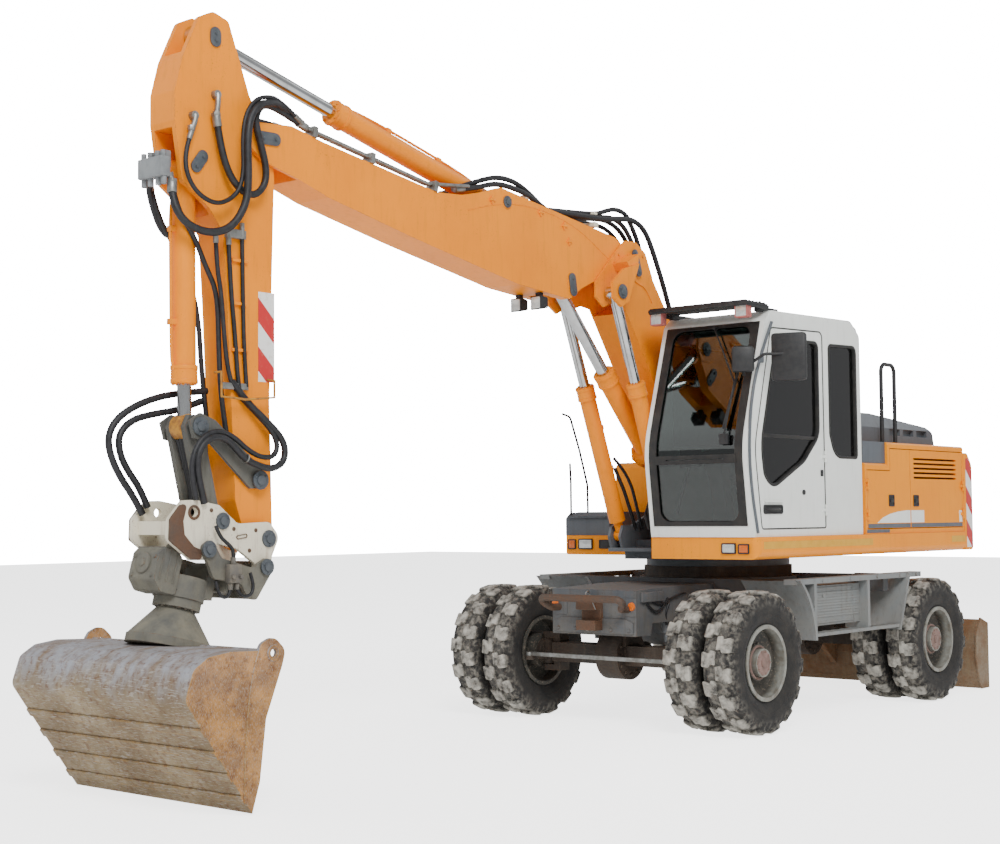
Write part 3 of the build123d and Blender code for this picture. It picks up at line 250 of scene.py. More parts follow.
def wornSteel(name, steel, rust, earth, shine):
    # Digging steel: rust in patches, polished where earth slides, dried earth in streaks
    metal = newMaterial(name)
    coords = addNode(metal, "ShaderNodeTexCoord")
    place = coords.outputs["Object"]
    patches = noiseMask(metal, place, 2.6, 0.38, 0.62, 8.0)
    colour = blendColour(metal, patches, steel, rust)
    fine = noiseMask(metal, place, 40.0, 0.42, 0.66, 6.0)
    colour = blendColour(metal, combine(metal, "MULTIPLY", fine, 0.5), colour, rust)
    wash = noiseMask(metal, place, 4.0, 0.48, 0.7, 8.0, (1, 4, 1))
    colour = blendColour(metal, combine(metal, "MULTIPLY", wash, 0.7), colour, earth)
    edges = combine(metal, "MULTIPLY", bareEdges(metal, 0.01, 0.97, 0.8),
                    noiseMask(metal, place, 15.0, 0.4, 0.6))
    colour = blendColour(metal, combine(metal, "MULTIPLY", edges, 0.6), colour, "#8C7A66")
    roughness = combine(metal, "ADD", combine(metal, "MULTIPLY", patches, 0.25), shine)
    pits = addNode(metal, "ShaderNodeTexNoise",
                   {"Vector": place, "Scale": 70.0, "Detail": 6.0}).outputs["Fac"]
    return finish(metal, colour, roughness, metallic=0.35, bump=pits, depth=0.0025, edge=0.006)


def diggingSteel(name):
    # Ditching bucket: lighter blue-grey steel higher up on the crown, dried clay on the floor, ochre rust on
    # the cheeks
    metal = newMaterial(name)
    coords = addNode(metal, "ShaderNodeTexCoord")
    place = coords.outputs["Object"]
    height = addNode(metal, "ShaderNodeSeparateXYZ", {0: place}).outputs[2]
    across = addNode(metal, "ShaderNodeSeparateXYZ", {0: coords.outputs["Normal"]}).outputs[1]
    across = addNode(metal, "ShaderNodeMath", {0: across}, operation="ABSOLUTE").outputs[0]
    patches = noiseMask(metal, place, 2.2, 0.4, 0.6, 8.0)
    clay = blendColour(metal, patches, "#9A8868", "#7D6B50")
    # Blue-grey steel colour on everything above a level made uneven by noise
    crown = blendColour(metal, noiseMask(metal, place, 3.5, 0.42, 0.66, 8.0, (1, 3, 1)), "#9FA1A8", "#84705C")
    worn = noiseMask(metal, place, 3.0, 0.35, 0.65, 6.0)
    level = addNode(metal, "ShaderNodeMath", {0: height, 1: combine(metal, "MULTIPLY", worn, 0.10)},
                    operation="ADD")
    high = addNode(metal, "ShaderNodeMapRange",
                   {"Value": level.outputs[0], "From Min": 0.66, "From Max": 0.86})
    colour = blendColour(metal, high.outputs[0], clay, crown)
    cheek = addNode(metal, "ShaderNodeMapRange",
                    {"Value": across, "From Min": 0.6, "From Max": 0.9}).outputs[0]
    ochre = blendColour(metal, noiseMask(metal, place, 5.0, 0.4, 0.62, 8.0), "#C08A48", "#8A6238")
    colour = blendColour(metal, combine(metal, "MULTIPLY", cheek, 0.9), colour, ochre)
    rust = combine(metal, "MULTIPLY", noiseMask(metal, place, 28.0, 0.5, 0.68, 6.0), 0.7)
    colour = blendColour(metal, rust, colour, "#6A4426")
    edges = combine(metal, "MULTIPLY", bareEdges(metal, 0.012, 0.97, 0.8),
                    noiseMask(metal, place, 9.0, 0.35, 0.6))
    colour = blendColour(metal, combine(metal, "MULTIPLY", edges, 0.8), colour, "#C79A55")
    scratch = noiseMask(metal, place, 60.0, 0.55, 0.62, 3.0, (6, 0.3, 1))
    colour = blendColour(metal, combine(metal, "MULTIPLY", scratch, 0.5), colour, "#B9B4AC")
    pits = addNode(metal, "ShaderNodeTexNoise",
                   {"Vector": place, "Scale": 70.0, "Detail": 6.0}).outputs["Fac"]
    rough = combine(metal, "ADD", combine(metal, "MULTIPLY", patches, 0.2), 0.5)
    return finish(metal, colour, rough, metallic=0.25, bump=pits, depth=0.0025, edge=0.006)


bucketSteel = diggingSteel("bucketSteel")
bladeSteel = wornSteel("bladeSteel", "#8A7A66", "#7A5A3C", "#8C7B60", 0.6)
castRust = wornSteel("castRust", "#544941", "#6C4E3A", "#544A40", 0.6)
axlePaint = wornSteel("axlePaint", "#403D3A", "#52463C", "#5A5248", 0.65)


def plainFinish(name, colour, second, roughness, scale, metallic=0.0, depth=0.0003, edge=0.002, **sockets):
    # A finish of one colour with a little of a second in fine patches
    coat = newMaterial(name)
    place = addNode(coat, "ShaderNodeTexCoord").outputs["Object"]
    patches = noiseMask(coat, place, scale, 0.4, 0.65, 6.0)
    grain = addNode(coat, "ShaderNodeTexNoise",
                    {"Vector": place, "Scale": scale * 12, "Detail": 3.0}).outputs["Fac"]
    shade = blendColour(coat, patches, colour, second)
    rough = combine(coat, "ADD", combine(coat, "MULTIPLY", patches, 0.12), roughness)
    return finish(coat, shade, rough, metallic, grain, depth, edge, **sockets)


# Hard-chromed piston rod, ground bright
rodChrome = plainFinish("rodChrome", "#C9CBCC", "#B3B4B2", 0.12, 8.0, metallic=1.0, depth=0.00005)
# Zinc-plated pipe and fittings, dulled
zincSteel = plainFinish("zincSteel", "#9A9B98", "#7D7C76", 0.42, 18.0, metallic=0.8)
blackRubber = plainFinish("blackRubber", "#1B1B1B", "#2E2C29", 0.55, 12.0)  # extruded window rubber
# Moulded black plastic, faintly grained
blackPlastic = plainFinish("blackPlastic", "#1E1F21", "#2B2B2B", 0.48, 25.0)
greyPlastic = plainFinish("greyPlastic", "#3C4043", "#4A4D4E", 0.5, 20.0)  # moulded grey plastic
# Woven grey seat cloth, its weave as coarse as shows
seatCloth = plainFinish("seatCloth", "#3B4240", "#2B302F", 0.85, 160.0, depth=0.001)
# Painted cast iron under a film of oil
engineIron = plainFinish("engineIron", "#2C2D2F", "#3F3A34", 0.6, 10.0)
amberLens = plainFinish("amberLens", "#E2701C", "#D86414", 0.15, 30.0)  # orange indicator lens
# Blued steel plates that lock the pins
lockPlateSteel = plainFinish("lockPlateSteel", "#4E545A", "#5B6064", 0.45, 20.0, metallic=0.3)
# Pinkish brown hub paint, worn
hubPaint = plainFinish("hubPaint", "#8B7068", "#6E5A50", 0.6, 14.0, depth=0.0008)
fadedRed = plainFinish("fadedRed", "#C0706A", "#A85A55", 0.5, 18.0)  # sun-bleached red plastic
clearLens = plainFinish("clearLens", "#D9DCD8", "#BFC4C2", 0.08, 60.0, metallic=0.35)  # lens over a reflector
# Silvered mirror glass
mirrorFace = plainFinish("mirrorFace", "#C8CCCE", "#BEC2C4", 0.05, 4.0, metallic=1.0, depth=0.00002)
# Faded yellow reflective tape
mustardTape = plainFinish("mustardTape", "#DDA41E", "#D49B1A", 0.35, 12.0, depth=0.0001, edge=0)
hoseRubber = plainFinish("hoseRubber", "#17181A", "#26262A", 0.5, 30.0)  # black hydraulic hose
# Cast iron with dried earth
dirtyCast = plainFinish("dirtyCast", "#6A6660", "#7E776A", 0.7, 16.0, metallic=0.2, depth=0.0012)
toolGrey = plainFinish("toolGrey", "#8A8E90", "#75787A", 0.5, 9.0)  # light grey tool chest paint
warmCast = plainFinish("warmCast", "#C58A2C", "#8A5A2A", 0.6, 20.0, depth=0.001)  # orange cast eye, half worn


tapeShape = {"band": 0.15, "red": "#C6292B", "white": "#F2F0EC", "dirt": "#A98C6A"}


def hazardTape(name, shape):
    # Reflective tape: red and white bands, slanted at 45 degrees
    tape = newMaterial(name)
    place = addNode(tape, "ShaderNodeTexCoord").outputs["Object"]
    split = addNode(tape, "ShaderNodeSeparateXYZ", {0: place})
    line = addNode(tape, "ShaderNodeMath", {0: split.outputs[2], 1: split.outputs[0]}, operation="SUBTRACT")
    part = addNode(tape, "ShaderNodeMath", {0: line.outputs[0], 1: 2 * shape["band"]},
                   operation="FLOORED_MODULO")
    band = combine(tape, "GREATER_THAN", part.outputs[0], shape["band"])
    wear = noiseMask(tape, place, 30.0, 0.55, 0.7, 6.0)
    colour = blendColour(tape, band, shape["red"], shape["white"])
    colour = blendColour(tape, combine(tape, "MULTIPLY", wear, 0.35), colour, shape["dirt"])
    return finish(tape, colour, 0.4, edge=0)


redWhiteTape = hazardTape("redWhiteTape", tapeShape)


def windowGlass(name, tint):
    # Tinted safety glass: see-through, mirror-like at a flat angle, dull where it is smeared
    glass = newMaterial(name)
    clear = addNode(glass, "ShaderNodeBsdfTransparent", {"Color": toLinear(tint)}).outputs[0]
    place = addNode(glass, "ShaderNodeTexCoord").outputs["Object"]
    smears = noiseMask(glass, place, 2.5, 0.3, 0.9, 6.0)
    rough = combine(glass, "MULTIPLY", smears, 0.08)
    gloss = addNode(glass, "ShaderNodeBsdfGlossy", {"Color": (1, 1, 1, 1), "Roughness": rough}).outputs[0]
    edgeOn = addNode(glass, "ShaderNodeFresnel", {"IOR": 1.5}).outputs[0]
    lift = combine(glass, "ADD", edgeOn, 0.02)
    mixed = addNode(glass, "ShaderNodeMixShader", {0: lift, 1: clear, 2: gloss}).outputs[0]
    addNode(glass, "ShaderNodeOutputMaterial", {"Surface": mixed})
    return glass


paneGlass = windowGlass("paneGlass", "#94A39F")


def treadRubber(name):
    # Road-worn rubber: chalk dust rubbed onto the outer faces of the blocks, brown dust on the walls
    rubber = newMaterial(name)
    place = addNode(rubber, "ShaderNodeTexCoord").outputs["Object"]
    split = addNode(rubber, "ShaderNodeSeparateXYZ", {0: place})
    along = addNode(rubber, "ShaderNodeMath", {0: split.outputs[0]}, operation="ABSOLUTE").outputs[0]
    along = addNode(rubber, "ShaderNodeMath", {0: along, 1: 1.41}, operation="SUBTRACT").outputs[0]
    up = addNode(rubber, "ShaderNodeMath", {0: split.outputs[2], 1: 0.5275}, operation="SUBTRACT").outputs[0]
    wheel = addNode(rubber, "ShaderNodeCombineXYZ", {0: along, 2: up}).outputs[0]
    radius = addNode(rubber, "ShaderNodeVectorMath", {0: wheel}, operation="LENGTH").outputs["Value"]
    face = addNode(rubber, "ShaderNodeMapRange",
                   {"Value": radius, "From Min": 0.498, "From Max": 0.516}).outputs[0]
    chalk = combine(rubber, "MULTIPLY", face, noiseMask(rubber, place, 14.0, 0.34, 0.62, 8.0))
    base = blendColour(rubber, noiseMask(rubber, place, 9.0, 0.35, 0.7, 6.0), "#1C1C1C", "#33302C")
    shoulder = addNode(rubber, "ShaderNodeMapRange",
                       {"Value": radius, "From Min": 0.40, "From Max": 0.50}).outputs[0]
    grey = combine(rubber, "MULTIPLY", shoulder, noiseMask(rubber, place, 24.0, 0.45, 0.65, 8.0))
    colour = blendColour(rubber, combine(rubber, "MULTIPLY", grey, 0.8), base, "#8A857B")
    colour = blendColour(rubber, combine(rubber, "MULTIPLY", chalk, 0.8), colour, "#C9C5BA")
    grain = addNode(rubber, "ShaderNodeTexNoise",
                    {"Vector": place, "Scale": 120.0, "Detail": 5.0}).outputs["Fac"]
    return finish(rubber, colour, 0.8, bump=grain, depth=0.002, edge=0.006)


tyreRubber = treadRubber("tyreRubber")
print("finishes made")

# Finish of each carried-over CAD piece
nodeFinish = {
    boomEnamel: ("base_boom", "upper_boom", "stick", "hoist_barrel", "adjust_barrel", "stick_barrel",
                 "bucket_barrel"),
    deckEnamel: ("deck_panels", "counterweight", "engine_hood", "fuel_tank", "service_door_front",
                 "service_door_rear"),
    cabEnamel: ("cab_shell", "cab_door"),
    hoodEnamel: ("upper_hood", "step_box", "deck_frame"),
    chassisEnamel: ("chassis_frame", "blade_barrels"),
    sideEnamel: ("side_steps",),
    bladeSteel: ("blade",),
    wheelPaint: ("rims_front_left", "rims_front_right", "rims_rear_left", "rims_rear_right"),
    gearEnamel: ("tilt_bracket", "tilt_head", "rotator", "rocker", "link"),
    creamEnamel: ("coupler",),
    bucketSteel: ("bucket",),
    castRust: ("front_bumper",),
    axlePaint: ("axle_front", "axle_rear", "knuckle_left", "knuckle_right", "drive_line", "slew_ring"),
    rodChrome: ("hoist_rod", "adjust_rod", "stick_rod", "bucket_rod", "blade_rods"),
    zincSteel: ("boom_pipes", "tie_rod"),
    blackPlastic: ("cab_controls", "cab_fittings", "handrails", "boom_lamps"),
    seatCloth: ("driver_seat",),
    engineIron: ("engine",),
    amberLens: ("lamps",),
    paneGlass: ("cab_glass", "door_glass"),
    tyreRubber: ("tyres_front_left", "tyres_front_right", "tyres_rear_left", "tyres_rear_right"),
}


def dressNodes(finishes):
    for material, names in finishes.items():
        for name in names:
            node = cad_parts[name]
            node.data.materials.clear()
            node.data.materials.append(material)


dressNodes(nodeFinish)
print("CAD pieces dressed")

# Shapes that every piece is made from
sides = (1, -1)  # left, then right
boomPlane = -0.030  # the boom stands this far to the right of the middle


def clearSelection():
    if bpy.context.object and bpy.context.object.mode != "OBJECT":
        bpy.ops.object.mode_set(mode="OBJECT")
    bpy.ops.object.select_all(action="DESELECT")


def faceOutwards():
    bpy.ops.object.mode_set(mode="EDIT")
    bpy.ops.mesh.select_all(action="SELECT")
    bpy.ops.mesh.normals_make_consistent(inside=False)
    bpy.ops.object.mode_set(mode="OBJECT")


def joined(pieces):
    clearSelection()
    for piece in pieces:
        piece.select_set(True)
    bpy.context.view_layer.objects.active = pieces[0]
    if len(pieces) > 1:
        bpy.ops.object.join()
    return bpy.context.object


def moved(piece, matrix):
    # Moves the mesh itself, so that the object stays at the origin
    piece.data.transform(matrix @ piece.matrix_world)
    piece.matrix_world = Matrix.Identity(4)


def roundEdges(width, segments=2, angle=35):
    piece = bpy.context.object
    if width:
        rounding = piece.modifiers.new("edge", "BEVEL")
        rounding.width = width
        rounding.segments = segments
        rounding.limit_method = "ANGLE"
        rounding.angle_limit = math.radians(angle)
        bpy.ops.object.modifier_apply(modifier="edge")
    return piece


def block(low, high, edge=0.004):
    clearSelection()
    middle = [(a + b) / 2 for a, b in zip(low, high)]
    bpy.ops.mesh.primitive_cube_add(size=1, location=middle, scale=[abs(b - a) for a, b in zip(low, high)])
    bpy.ops.object.transform_apply(location=False, rotation=False, scale=True)
    return roundEdges(edge)


def bar(start, end, radius, edge=0.002, corners=20, top=None):
    # Round bar between two points, or a cone when top is given
    clearSelection()
    start, end = Vector(start), Vector(end)
    way = end - start
    bpy.ops.mesh.primitive_cone_add(vertices=corners, radius1=radius,
                                    radius2=radius if top is None else top,
                                    depth=way.length, location=(start + end) / 2,
                                    rotation=way.to_track_quat("Z", "Y").to_euler())
    return roundEdges(edge)


def ring(centre, way, radius, thick, corners=28):
    clearSelection()
    bpy.ops.mesh.primitive_torus_add(major_segments=corners, minor_segments=8, major_radius=radius,
                                     minor_radius=thick, location=centre,
                                     rotation=Vector(way).to_track_quat("Z", "Y").to_euler())
    return bpy.context.object


def along(axis, flat, level):
    # Point of an outline drawn across one axis
    first, second = flat
    return {"x": (level, first, second), "y": (first, level, second), "z": (first, second, level)}[axis]


def plate(points, axis, start, end, edge=0.002, wide=None):
    # Flat outline across the axis, extruded from start to end. With wide it is a frame of that width
    clearSelection()
    bpy.ops.mesh.primitive_circle_add(vertices=len(points), radius=1, fill_type="NGON")
    piece = bpy.context.object
    for vertex, flat in zip(piece.data.vertices, points):
        vertex.co = along(axis, flat, start)
    bpy.ops.object.mode_set(mode="EDIT")
    bpy.ops.mesh.select_mode(type="FACE")
    bpy.ops.mesh.select_all(action="SELECT")
    if wide:
        bpy.ops.mesh.inset(thickness=wide, depth=0)
        bpy.ops.mesh.delete(type="ONLY_FACE")
        bpy.ops.mesh.select_all(action="SELECT")
    bpy.ops.mesh.extrude_region_move(TRANSFORM_OT_translate={"value": along(axis, (0, 0), end - start)})
    faceOutwards()
    return roundEdges(edge)


def hose(points, radius, closed=False, rounds=3, steps=5, kind="NURBS"):
    # Tube along points, round in as many steps as rounds says and with steps pieces from point to point
    clearSelection()
    curve = bpy.data.curves.new("hose", "CURVE")
    curve.dimensions = "3D"
    line = curve.splines.new(kind)
    line.points.add(len(points) - 1)
    for point, place in zip(line.points, points):
        point.co = (*place, 1)
    line.use_cyclic_u = closed
    line.use_endpoint_u = not closed
    line.order_u = 3
    line.resolution_u = steps
    curve.bevel_depth = radius
    curve.bevel_resolution = rounds
    curve.use_fill_caps = not closed
    tube = bpy.data.objects.new("hose", curve)
    bpy.context.scene.collection.objects.link(tube)
    tube.select_set(True)
    bpy.context.view_layer.objects.active = tube
    bpy.ops.object.convert(target="MESH")
    return bpy.context.object


def copies(piece, places):
    # Copies with a mesh of their own, each moved by its matrix; the pattern itself goes
    made = []
    for matrix in places:
        twin = piece.copy()
        twin.data = piece.data.copy()
        twin.data.transform(matrix @ piece.matrix_world)
        if matrix.determinant() < 0:
            twin.data.flip_normals()
        twin.matrix_world = Matrix.Identity(4)
        bpy.context.scene.collection.objects.link(twin)
        made.append(twin)
    bpy.data.objects.remove(piece)
    return made


def turned(centre, axis, degrees):
    # Matrix that turns about a point
    turn = Matrix.Rotation(math.radians(degrees), 4, axis)
    return Matrix.Translation(centre) @ turn @ Matrix.Translation(-Vector(centre))


def assemble(name, material, body, pieces, angle=35):
    # Joins pieces into one object on its CAD body. Where body is two bodies and the ends of the bend between
    # them, these are not used: the piece is put on no body and does not bend
    flat = []
    for piece in pieces:
        flat.extend(piece if isinstance(piece, list) else [piece])
    whole = joined(flat)
    bpy.ops.object.transform_apply(location=True, rotation=True, scale=True)
    whole.name = name
    whole.data.name = name
    whole.data.materials.clear()
    whole.data.materials.append(material)
    bpy.ops.object.shade_smooth_by_angle(angle=math.radians(angle))
    if isinstance(body, tuple):
        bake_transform(whole)
    else:
        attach(whole, body)
    return whole


def oval(start, end, radius, count=8):
    # Outline of a long plate with round ends about two centres
    lean = math.atan2(end[1] - start[1], end[0] - start[0])
    points = []
    for centre, turn in ((end, -90), (start, 90)):
        for step in range(count):
            spot = lean + math.radians(turn + 180 * step / (count - 1))
            points.append((centre[0] + radius * math.cos(spot), centre[1] + radius * math.sin(spot)))
    return points


def rounded(points, radii, steps=6):
    # Outline with rounded corners
    outline = []
    for index, here in enumerate(points):
        radius = radii[index] if isinstance(radii, (list, tuple)) else radii
        here = Vector(here)
        before = (Vector(points[index - 1]) - here).normalized()
        after = (Vector(points[(index + 1) % len(points)]) - here).normalized()
        if radius == 0:
            outline.append(tuple(here))
            continue
        half = before.angle(after) / 2
        reach = radius / math.tan(half)
        centre = here + (before + after).normalized() * radius / math.sin(half)
        start = here + before * reach - centre
        swing = start.angle_signed(here + after * reach - centre)
        for step in range(steps + 1):
            spot = Vector(start)
            spot.rotate(Matrix.Rotation(-swing * step / steps, 2))
            outline.append(tuple(centre + spot))
    return outline


def rectangle(low, high, radius):
    return rounded([low, (high[0], low[1]), high, (low[0], high[1])], radius)


def bolt(centre, way, size=0.012, height=0.009):
    # Hexagon head on its washer
    centre, way = Vector(centre), Vector(way).normalized()
    washer = bar(centre - way * 0.002, centre + way * 0.003, size * 1.25, 0.001, 16)
    head = bar(centre, centre + way * height, size, 0.0012, 6)
    return [washer, head]


# Tyres: carcass and lugs, in place of the plain ring of sectors
tyreShape = {
    "radius": 0.5275, "lugs": 15, "hubX": 1.41, "twins": (1.205, 0.870), "steps": 80,
    # Across the tyre and radius, from the bead out to the middle of the tread, then along the liner inside
    "outside": [(0.094, 0.263), (0.103, 0.286), (0.121, 0.312), (0.133, 0.345), (0.1375, 0.385),
                (0.1365, 0.425), (0.130, 0.458), (0.121, 0.482), (0.100, 0.496), (0.060, 0.501),
                (0.0, 0.502)],
    "liner": [(0.0, 0.47), (0.07, 0.46), (0.09, 0.40), (0.08, 0.30)],
    # Across the tyre, radius and thickness of the moulded rings on its wall
    "ribs": [(0.1335, 0.362, 0.0028), (0.1345, 0.398, 0.0020), (0.108, 0.302, 0.003)],
    # Across the tyre, the lug's two ends along the tread, its radius
    "lug": [(0.003, -0.060, 0.040, 0.5272), (0.040, -0.068, 0.034, 0.5268), (0.054, -0.042, 0.060, 0.5266),
            (0.106, -0.056, 0.056, 0.5220), (0.126, -0.050, 0.050, 0.5050), (0.1372, -0.040, 0.042, 0.4520)],
}


def carcass():
    outside, liner = tyreShape["outside"], tyreShape["liner"]
    loop = outside + [(-y, r) for y, r in reversed(outside[:-1])]
    loop += [(-y, r) for y, r in reversed(liner[1:])] + liner
    clearSelection()
    bpy.ops.mesh.primitive_circle_add(vertices=len(loop), radius=1, fill_type="NOTHING")
    piece = bpy.context.object
    for vertex, (y, r) in zip(piece.data.vertices, loop):
        vertex.co = (0, y, r)
    turning = piece.modifiers.new("turn", "SCREW")
    turning.axis = "Y"
    turning.steps = turning.render_steps = tyreShape["steps"]
    turning.use_merge_vertices = True
    turning.use_normal_calculate = True
    bpy.ops.object.modifier_apply(modifier="turn")
    faceOutwards()
    ribs = [ring((0, side * y, 0), (0, 1, 0), r, thick, tyreShape["steps"]) for side in sides
            for y, r, thick in tyreShape["ribs"]]
    return [piece] + ribs


def lug():
    # One tread block: a strip laid on the tread through its stations, then drawn in towards the carcass
    stations = tyreShape["lug"]
    clearSelection()
    bpy.ops.mesh.primitive_grid_add(x_subdivisions=1, y_subdivisions=len(stations) - 1, size=1)
    piece = bpy.context.object
    order = sorted(piece.data.vertices, key=lambda vertex: (round(vertex.co.y, 3), vertex.co.x))
    for index, vertex in enumerate(order):
        y, first, last, radius = stations[index // 2]
        angle = (first, last)[index % 2] / tyreShape["radius"]
        vertex.co = (radius * math.sin(angle), y, radius * math.cos(angle))
    bpy.ops.object.mode_set(mode="EDIT")
    bpy.ops.mesh.select_all(action="SELECT")
    bpy.ops.mesh.extrude_region_move()
    bpy.ops.transform.resize(value=(0.94, 0.985, 0.94), center_override=(0, 0, 0))
    faceOutwards()
    return roundEdges(0.0045, 2, 25)


def tyrePair():
    whole = carcass()
    places = []
    for index in range(2 * tyreShape["lugs"]):
        turn = Matrix.Rotation(math.pi * index / tyreShape["lugs"], 4, "Y")
        places.append(turn @ Matrix.Scale(-1 if index % 2 else 1, 4, (0, 1, 0)))
    return joined(whole + copies(lug(), places))


def makeTyres():
    pattern = tyrePair()
    wheels = [(end, side) for end in (1, -1) for side in sides]
    for end, side in wheels:
        spots = [Matrix.Translation((end * tyreShape["hubX"], side * y, tyreShape["radius"]))
                 for y in tyreShape["twins"]]
        keep = pattern.copy()
        keep.data = pattern.data.copy()
        bpy.context.scene.collection.objects.link(keep)
        name = ("front" if end > 0 else "rear") + ("_left" if side > 0 else "_right")
        twins = copies(keep, spots)
        pair = assemble("tyreTread_" + name, tyreRubber, "wheel_" + name, twins, 40)
        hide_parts("tyres_" + name)
        hubNuts(name, end, side)
    bpy.data.objects.remove(pattern)


hubShape = {
    "face": 1.249, "crown": 1.2935, "cover": (0.1055, 0.100), "plug": 0.034, "foot": (0.118, 0.010),
    "coverBolts": 10, "coverRing": 0.084, "nuts": 10, "nutFace": 1.1755, "nutRing": 0.158,
}


def hubNuts(name, end, side):
    # Planetary hub: cover with its bolts, wheel nuts round it
    x, z = end * tyreShape["hubX"], tyreShape["radius"]
    face, crown = side * hubShape["face"], side * hubShape["crown"]
    foot, top = hubShape["cover"]
    cover = [bar((x, face, z), (x, crown, z), foot, 0.010, 40, top),
             bar((x, crown - side * 0.002, z), (x, crown + side * 0.006, z), hubShape["plug"], 0.002, 24),
             ring((x, face, z), (0, 1, 0), *hubShape["foot"], 40)]
    for index in range(hubShape["coverBolts"]):
        turn = math.tau * index / hubShape["coverBolts"]
        reach = hubShape["coverRing"]
        spot = (x + reach * math.cos(turn), crown, z + reach * math.sin(turn))
        cover += bolt(spot, (0, side, 0), 0.008, 0.006)
    assemble("hubCover_" + name, hubPaint, "wheel_" + name, cover)
    nuts = []
    for index in range(hubShape["nuts"]):
        turn = math.tau * (index + 0.5) / hubShape["nuts"]
        reach = hubShape["nutRing"]
        spot = (x + reach * math.cos(turn), side * hubShape["nutFace"], z + reach * math.sin(turn))
        nuts += bolt(spot, (0, side, 0), 0.015, 0.018)
    assemble("wheelNuts_" + name, dirtyCast, "wheel_" + name, nuts)


makeTyres()
print("tyres made")

# Cab: outlines as (x, z) on the left wall
cabShape = {"face": 1.222, "seal": 0.022, "proud": 0.004, "sunk": 0.028}
cabSide = rounded([(-0.28, 1.4413), (1.405, 1.4413), (1.490, 2.120), (1.190, 3.080), (1.110, 3.150),
                   (-0.130, 3.175), (-0.28, 3.060)], [0, 0, 0.7, 0.06, 0.04, 0.09, 0.06], 12)
doorOutline = rounded([(0.33, 1.50), (1.285, 1.50), (1.370, 2.110), (1.115, 3.020), (0.34, 3.045)],
                      [0.02, 0.03, 0.5, 0.05, 0.05])
doorWindow = rounded([(0.40, 2.22), (0.64, 2.01), (1.13, 1.79), (1.25, 1.90), (1.29, 2.13), (1.05, 2.95),
                      (0.40, 2.965)], [0.18, 0.3, 0.16, 0.1, 0.5, 0.06, 0.06])
quarterWindow = rounded([(-0.215, 2.05), (0.17, 2.05), (0.25, 2.24), (0.25, 2.96), (-0.215, 2.975)],
                        [0.04, 0.16, 0.1, 0.05, 0.06])


def frontOf(z):
    # How far forward the cab's front reaches at a height
    reach = [(a, b) for a, b in zip(cabSide, cabSide[1:]) if min(a[1], b[1]) <= z <= max(a[1], b[1])
             and a[0] > 1 and b[0] > 1 and abs(a[1] - b[1]) > 1e-6]
    return max(a[0] + (b[0] - a[0]) * (z - a[1]) / (b[1] - a[1]) for a, b in reach)


def screenFrame(outer, inner, proud, thick):
    # Flat frame of (y, z) points, bent to the front's curve
    count = len(outer)
    piece = bpy.data.objects.new("frame", bpy.data.meshes.new("frame"))
    faces = [(i, (i + 1) % count, count + (i + 1) % count, count + i) for i in range(count)]
    piece.data.from_pydata([(frontOf(z) + proud, y, z) for y, z in outer + inner], [], faces)
    bpy.context.scene.collection.objects.link(piece)
    clearSelection()
    piece.select_set(True)
    bpy.context.view_layer.objects.active = piece
    sheetDepth = piece.modifiers.new("thick", "SOLIDIFY")
    sheetDepth.thickness = thick
    sheetDepth.offset = 0
    bpy.ops.object.modifier_apply(modifier="thick")
    faceOutwards()
    return piece


def divided(points, gap=0.06):
    # The same closed outline with more points along its long sides
    dense = []
    for here, after in zip(points, points[1:] + points[:1]):
        steps = max(1, int(math.dist(here, after) / gap))
        dense += [(here[0] + (after[0] - here[0]) * i / steps, here[1] + (after[1] - here[1]) * i / steps)
                  for i in range(steps)]
    return dense


def grown(points, centre, reach, low, high):
    # Each point pushed out from a rounded outline onto the rectangle around it
    return [(min(max(centre[0] + (y - centre[0]) * reach[0], low[0]), high[0]),
             min(max(centre[1] + (z - centre[1]) * reach[1], low[1]), high[1])) for y, z in points]


# Seals: low corner, high corner and corner radius of each pane, and of the two bars across the screen
sealShape = {
    "rear": ((0.425, 2.23), (1.102, 2.95), 0.06), "right": ((-0.18, 2.15), (1.15, 2.95), 0.08),
    "screen": ((0.412, 1.560), (1.115, 3.035), 0.085), "screenEdge": ((0.345, 1.525), (1.182, 3.062)),
    "screenMiddle": (0.7635, 2.29), "screenReach": (1.6, 1.6),
    "bars": [(((0.40, 1.992), (1.127, 2.058), 0.004), ((0.42, 2.012), (1.107, 2.038), 0.004), 0.012),
             (((0.41, 2.008), (1.117, 2.042), 0.002), ((0.5, 2.022), (1.03, 2.028), 0.002), 0.010)],
}


def makeCabSeals():
    face, wide = cabShape["face"], cabShape["seal"]
    inner, outer = face - cabShape["sunk"], face + cabShape["proud"]
    door = [plate(doorWindow, "y", inner, outer, 0.003, wide),
            block((0.415, face - 0.026, 2.186), (1.262, face - 0.006, 2.214), 0.003)]
    assemble("doorSeals", blackRubber, "cab_door", door)
    seals = [plate(quarterWindow, "y", inner, outer, 0.003, wide),
             plate(rectangle(*sealShape["right"]), "y", 0.301, 0.334, 0.003, wide),
             plate(rectangle(*sealShape["rear"]), "x", -0.284, -0.25, 0.003, wide),
             hose([(x, face + 0.001, z) for x, z in doorOutline], 0.004, True, 2, 2, "POLY")]
    glass = divided(rectangle(*sealShape["screen"]))
    edge = grown(glass, sealShape["screenMiddle"], sealShape["screenReach"], *sealShape["screenEdge"])
    seals.append(screenFrame(edge, glass, 0.001, 0.010))
    for edge, opening, thick in sealShape["bars"]:
        seals.append(screenFrame(rectangle(*edge), rectangle(*opening), 0.003, thick))
    assemble("cabSeals", blackRubber, "upper", seals)


# Wiper rods: both ends as (y, z, off the screen), and their radius
wiperRods = [((0.804, 3.03, 0.030), (1.067, 2.58, 0.030), 0.006),
             ((1.06, 2.62, 0.034), (1.031, 2.19, 0.026), 0.007),
             ((1.09, 2.86, 0.02), (1.015, 2.25, 0.02), 0.010)]


def onScreen(y, z, off):
    return (frontOf(z) + off, y, z)


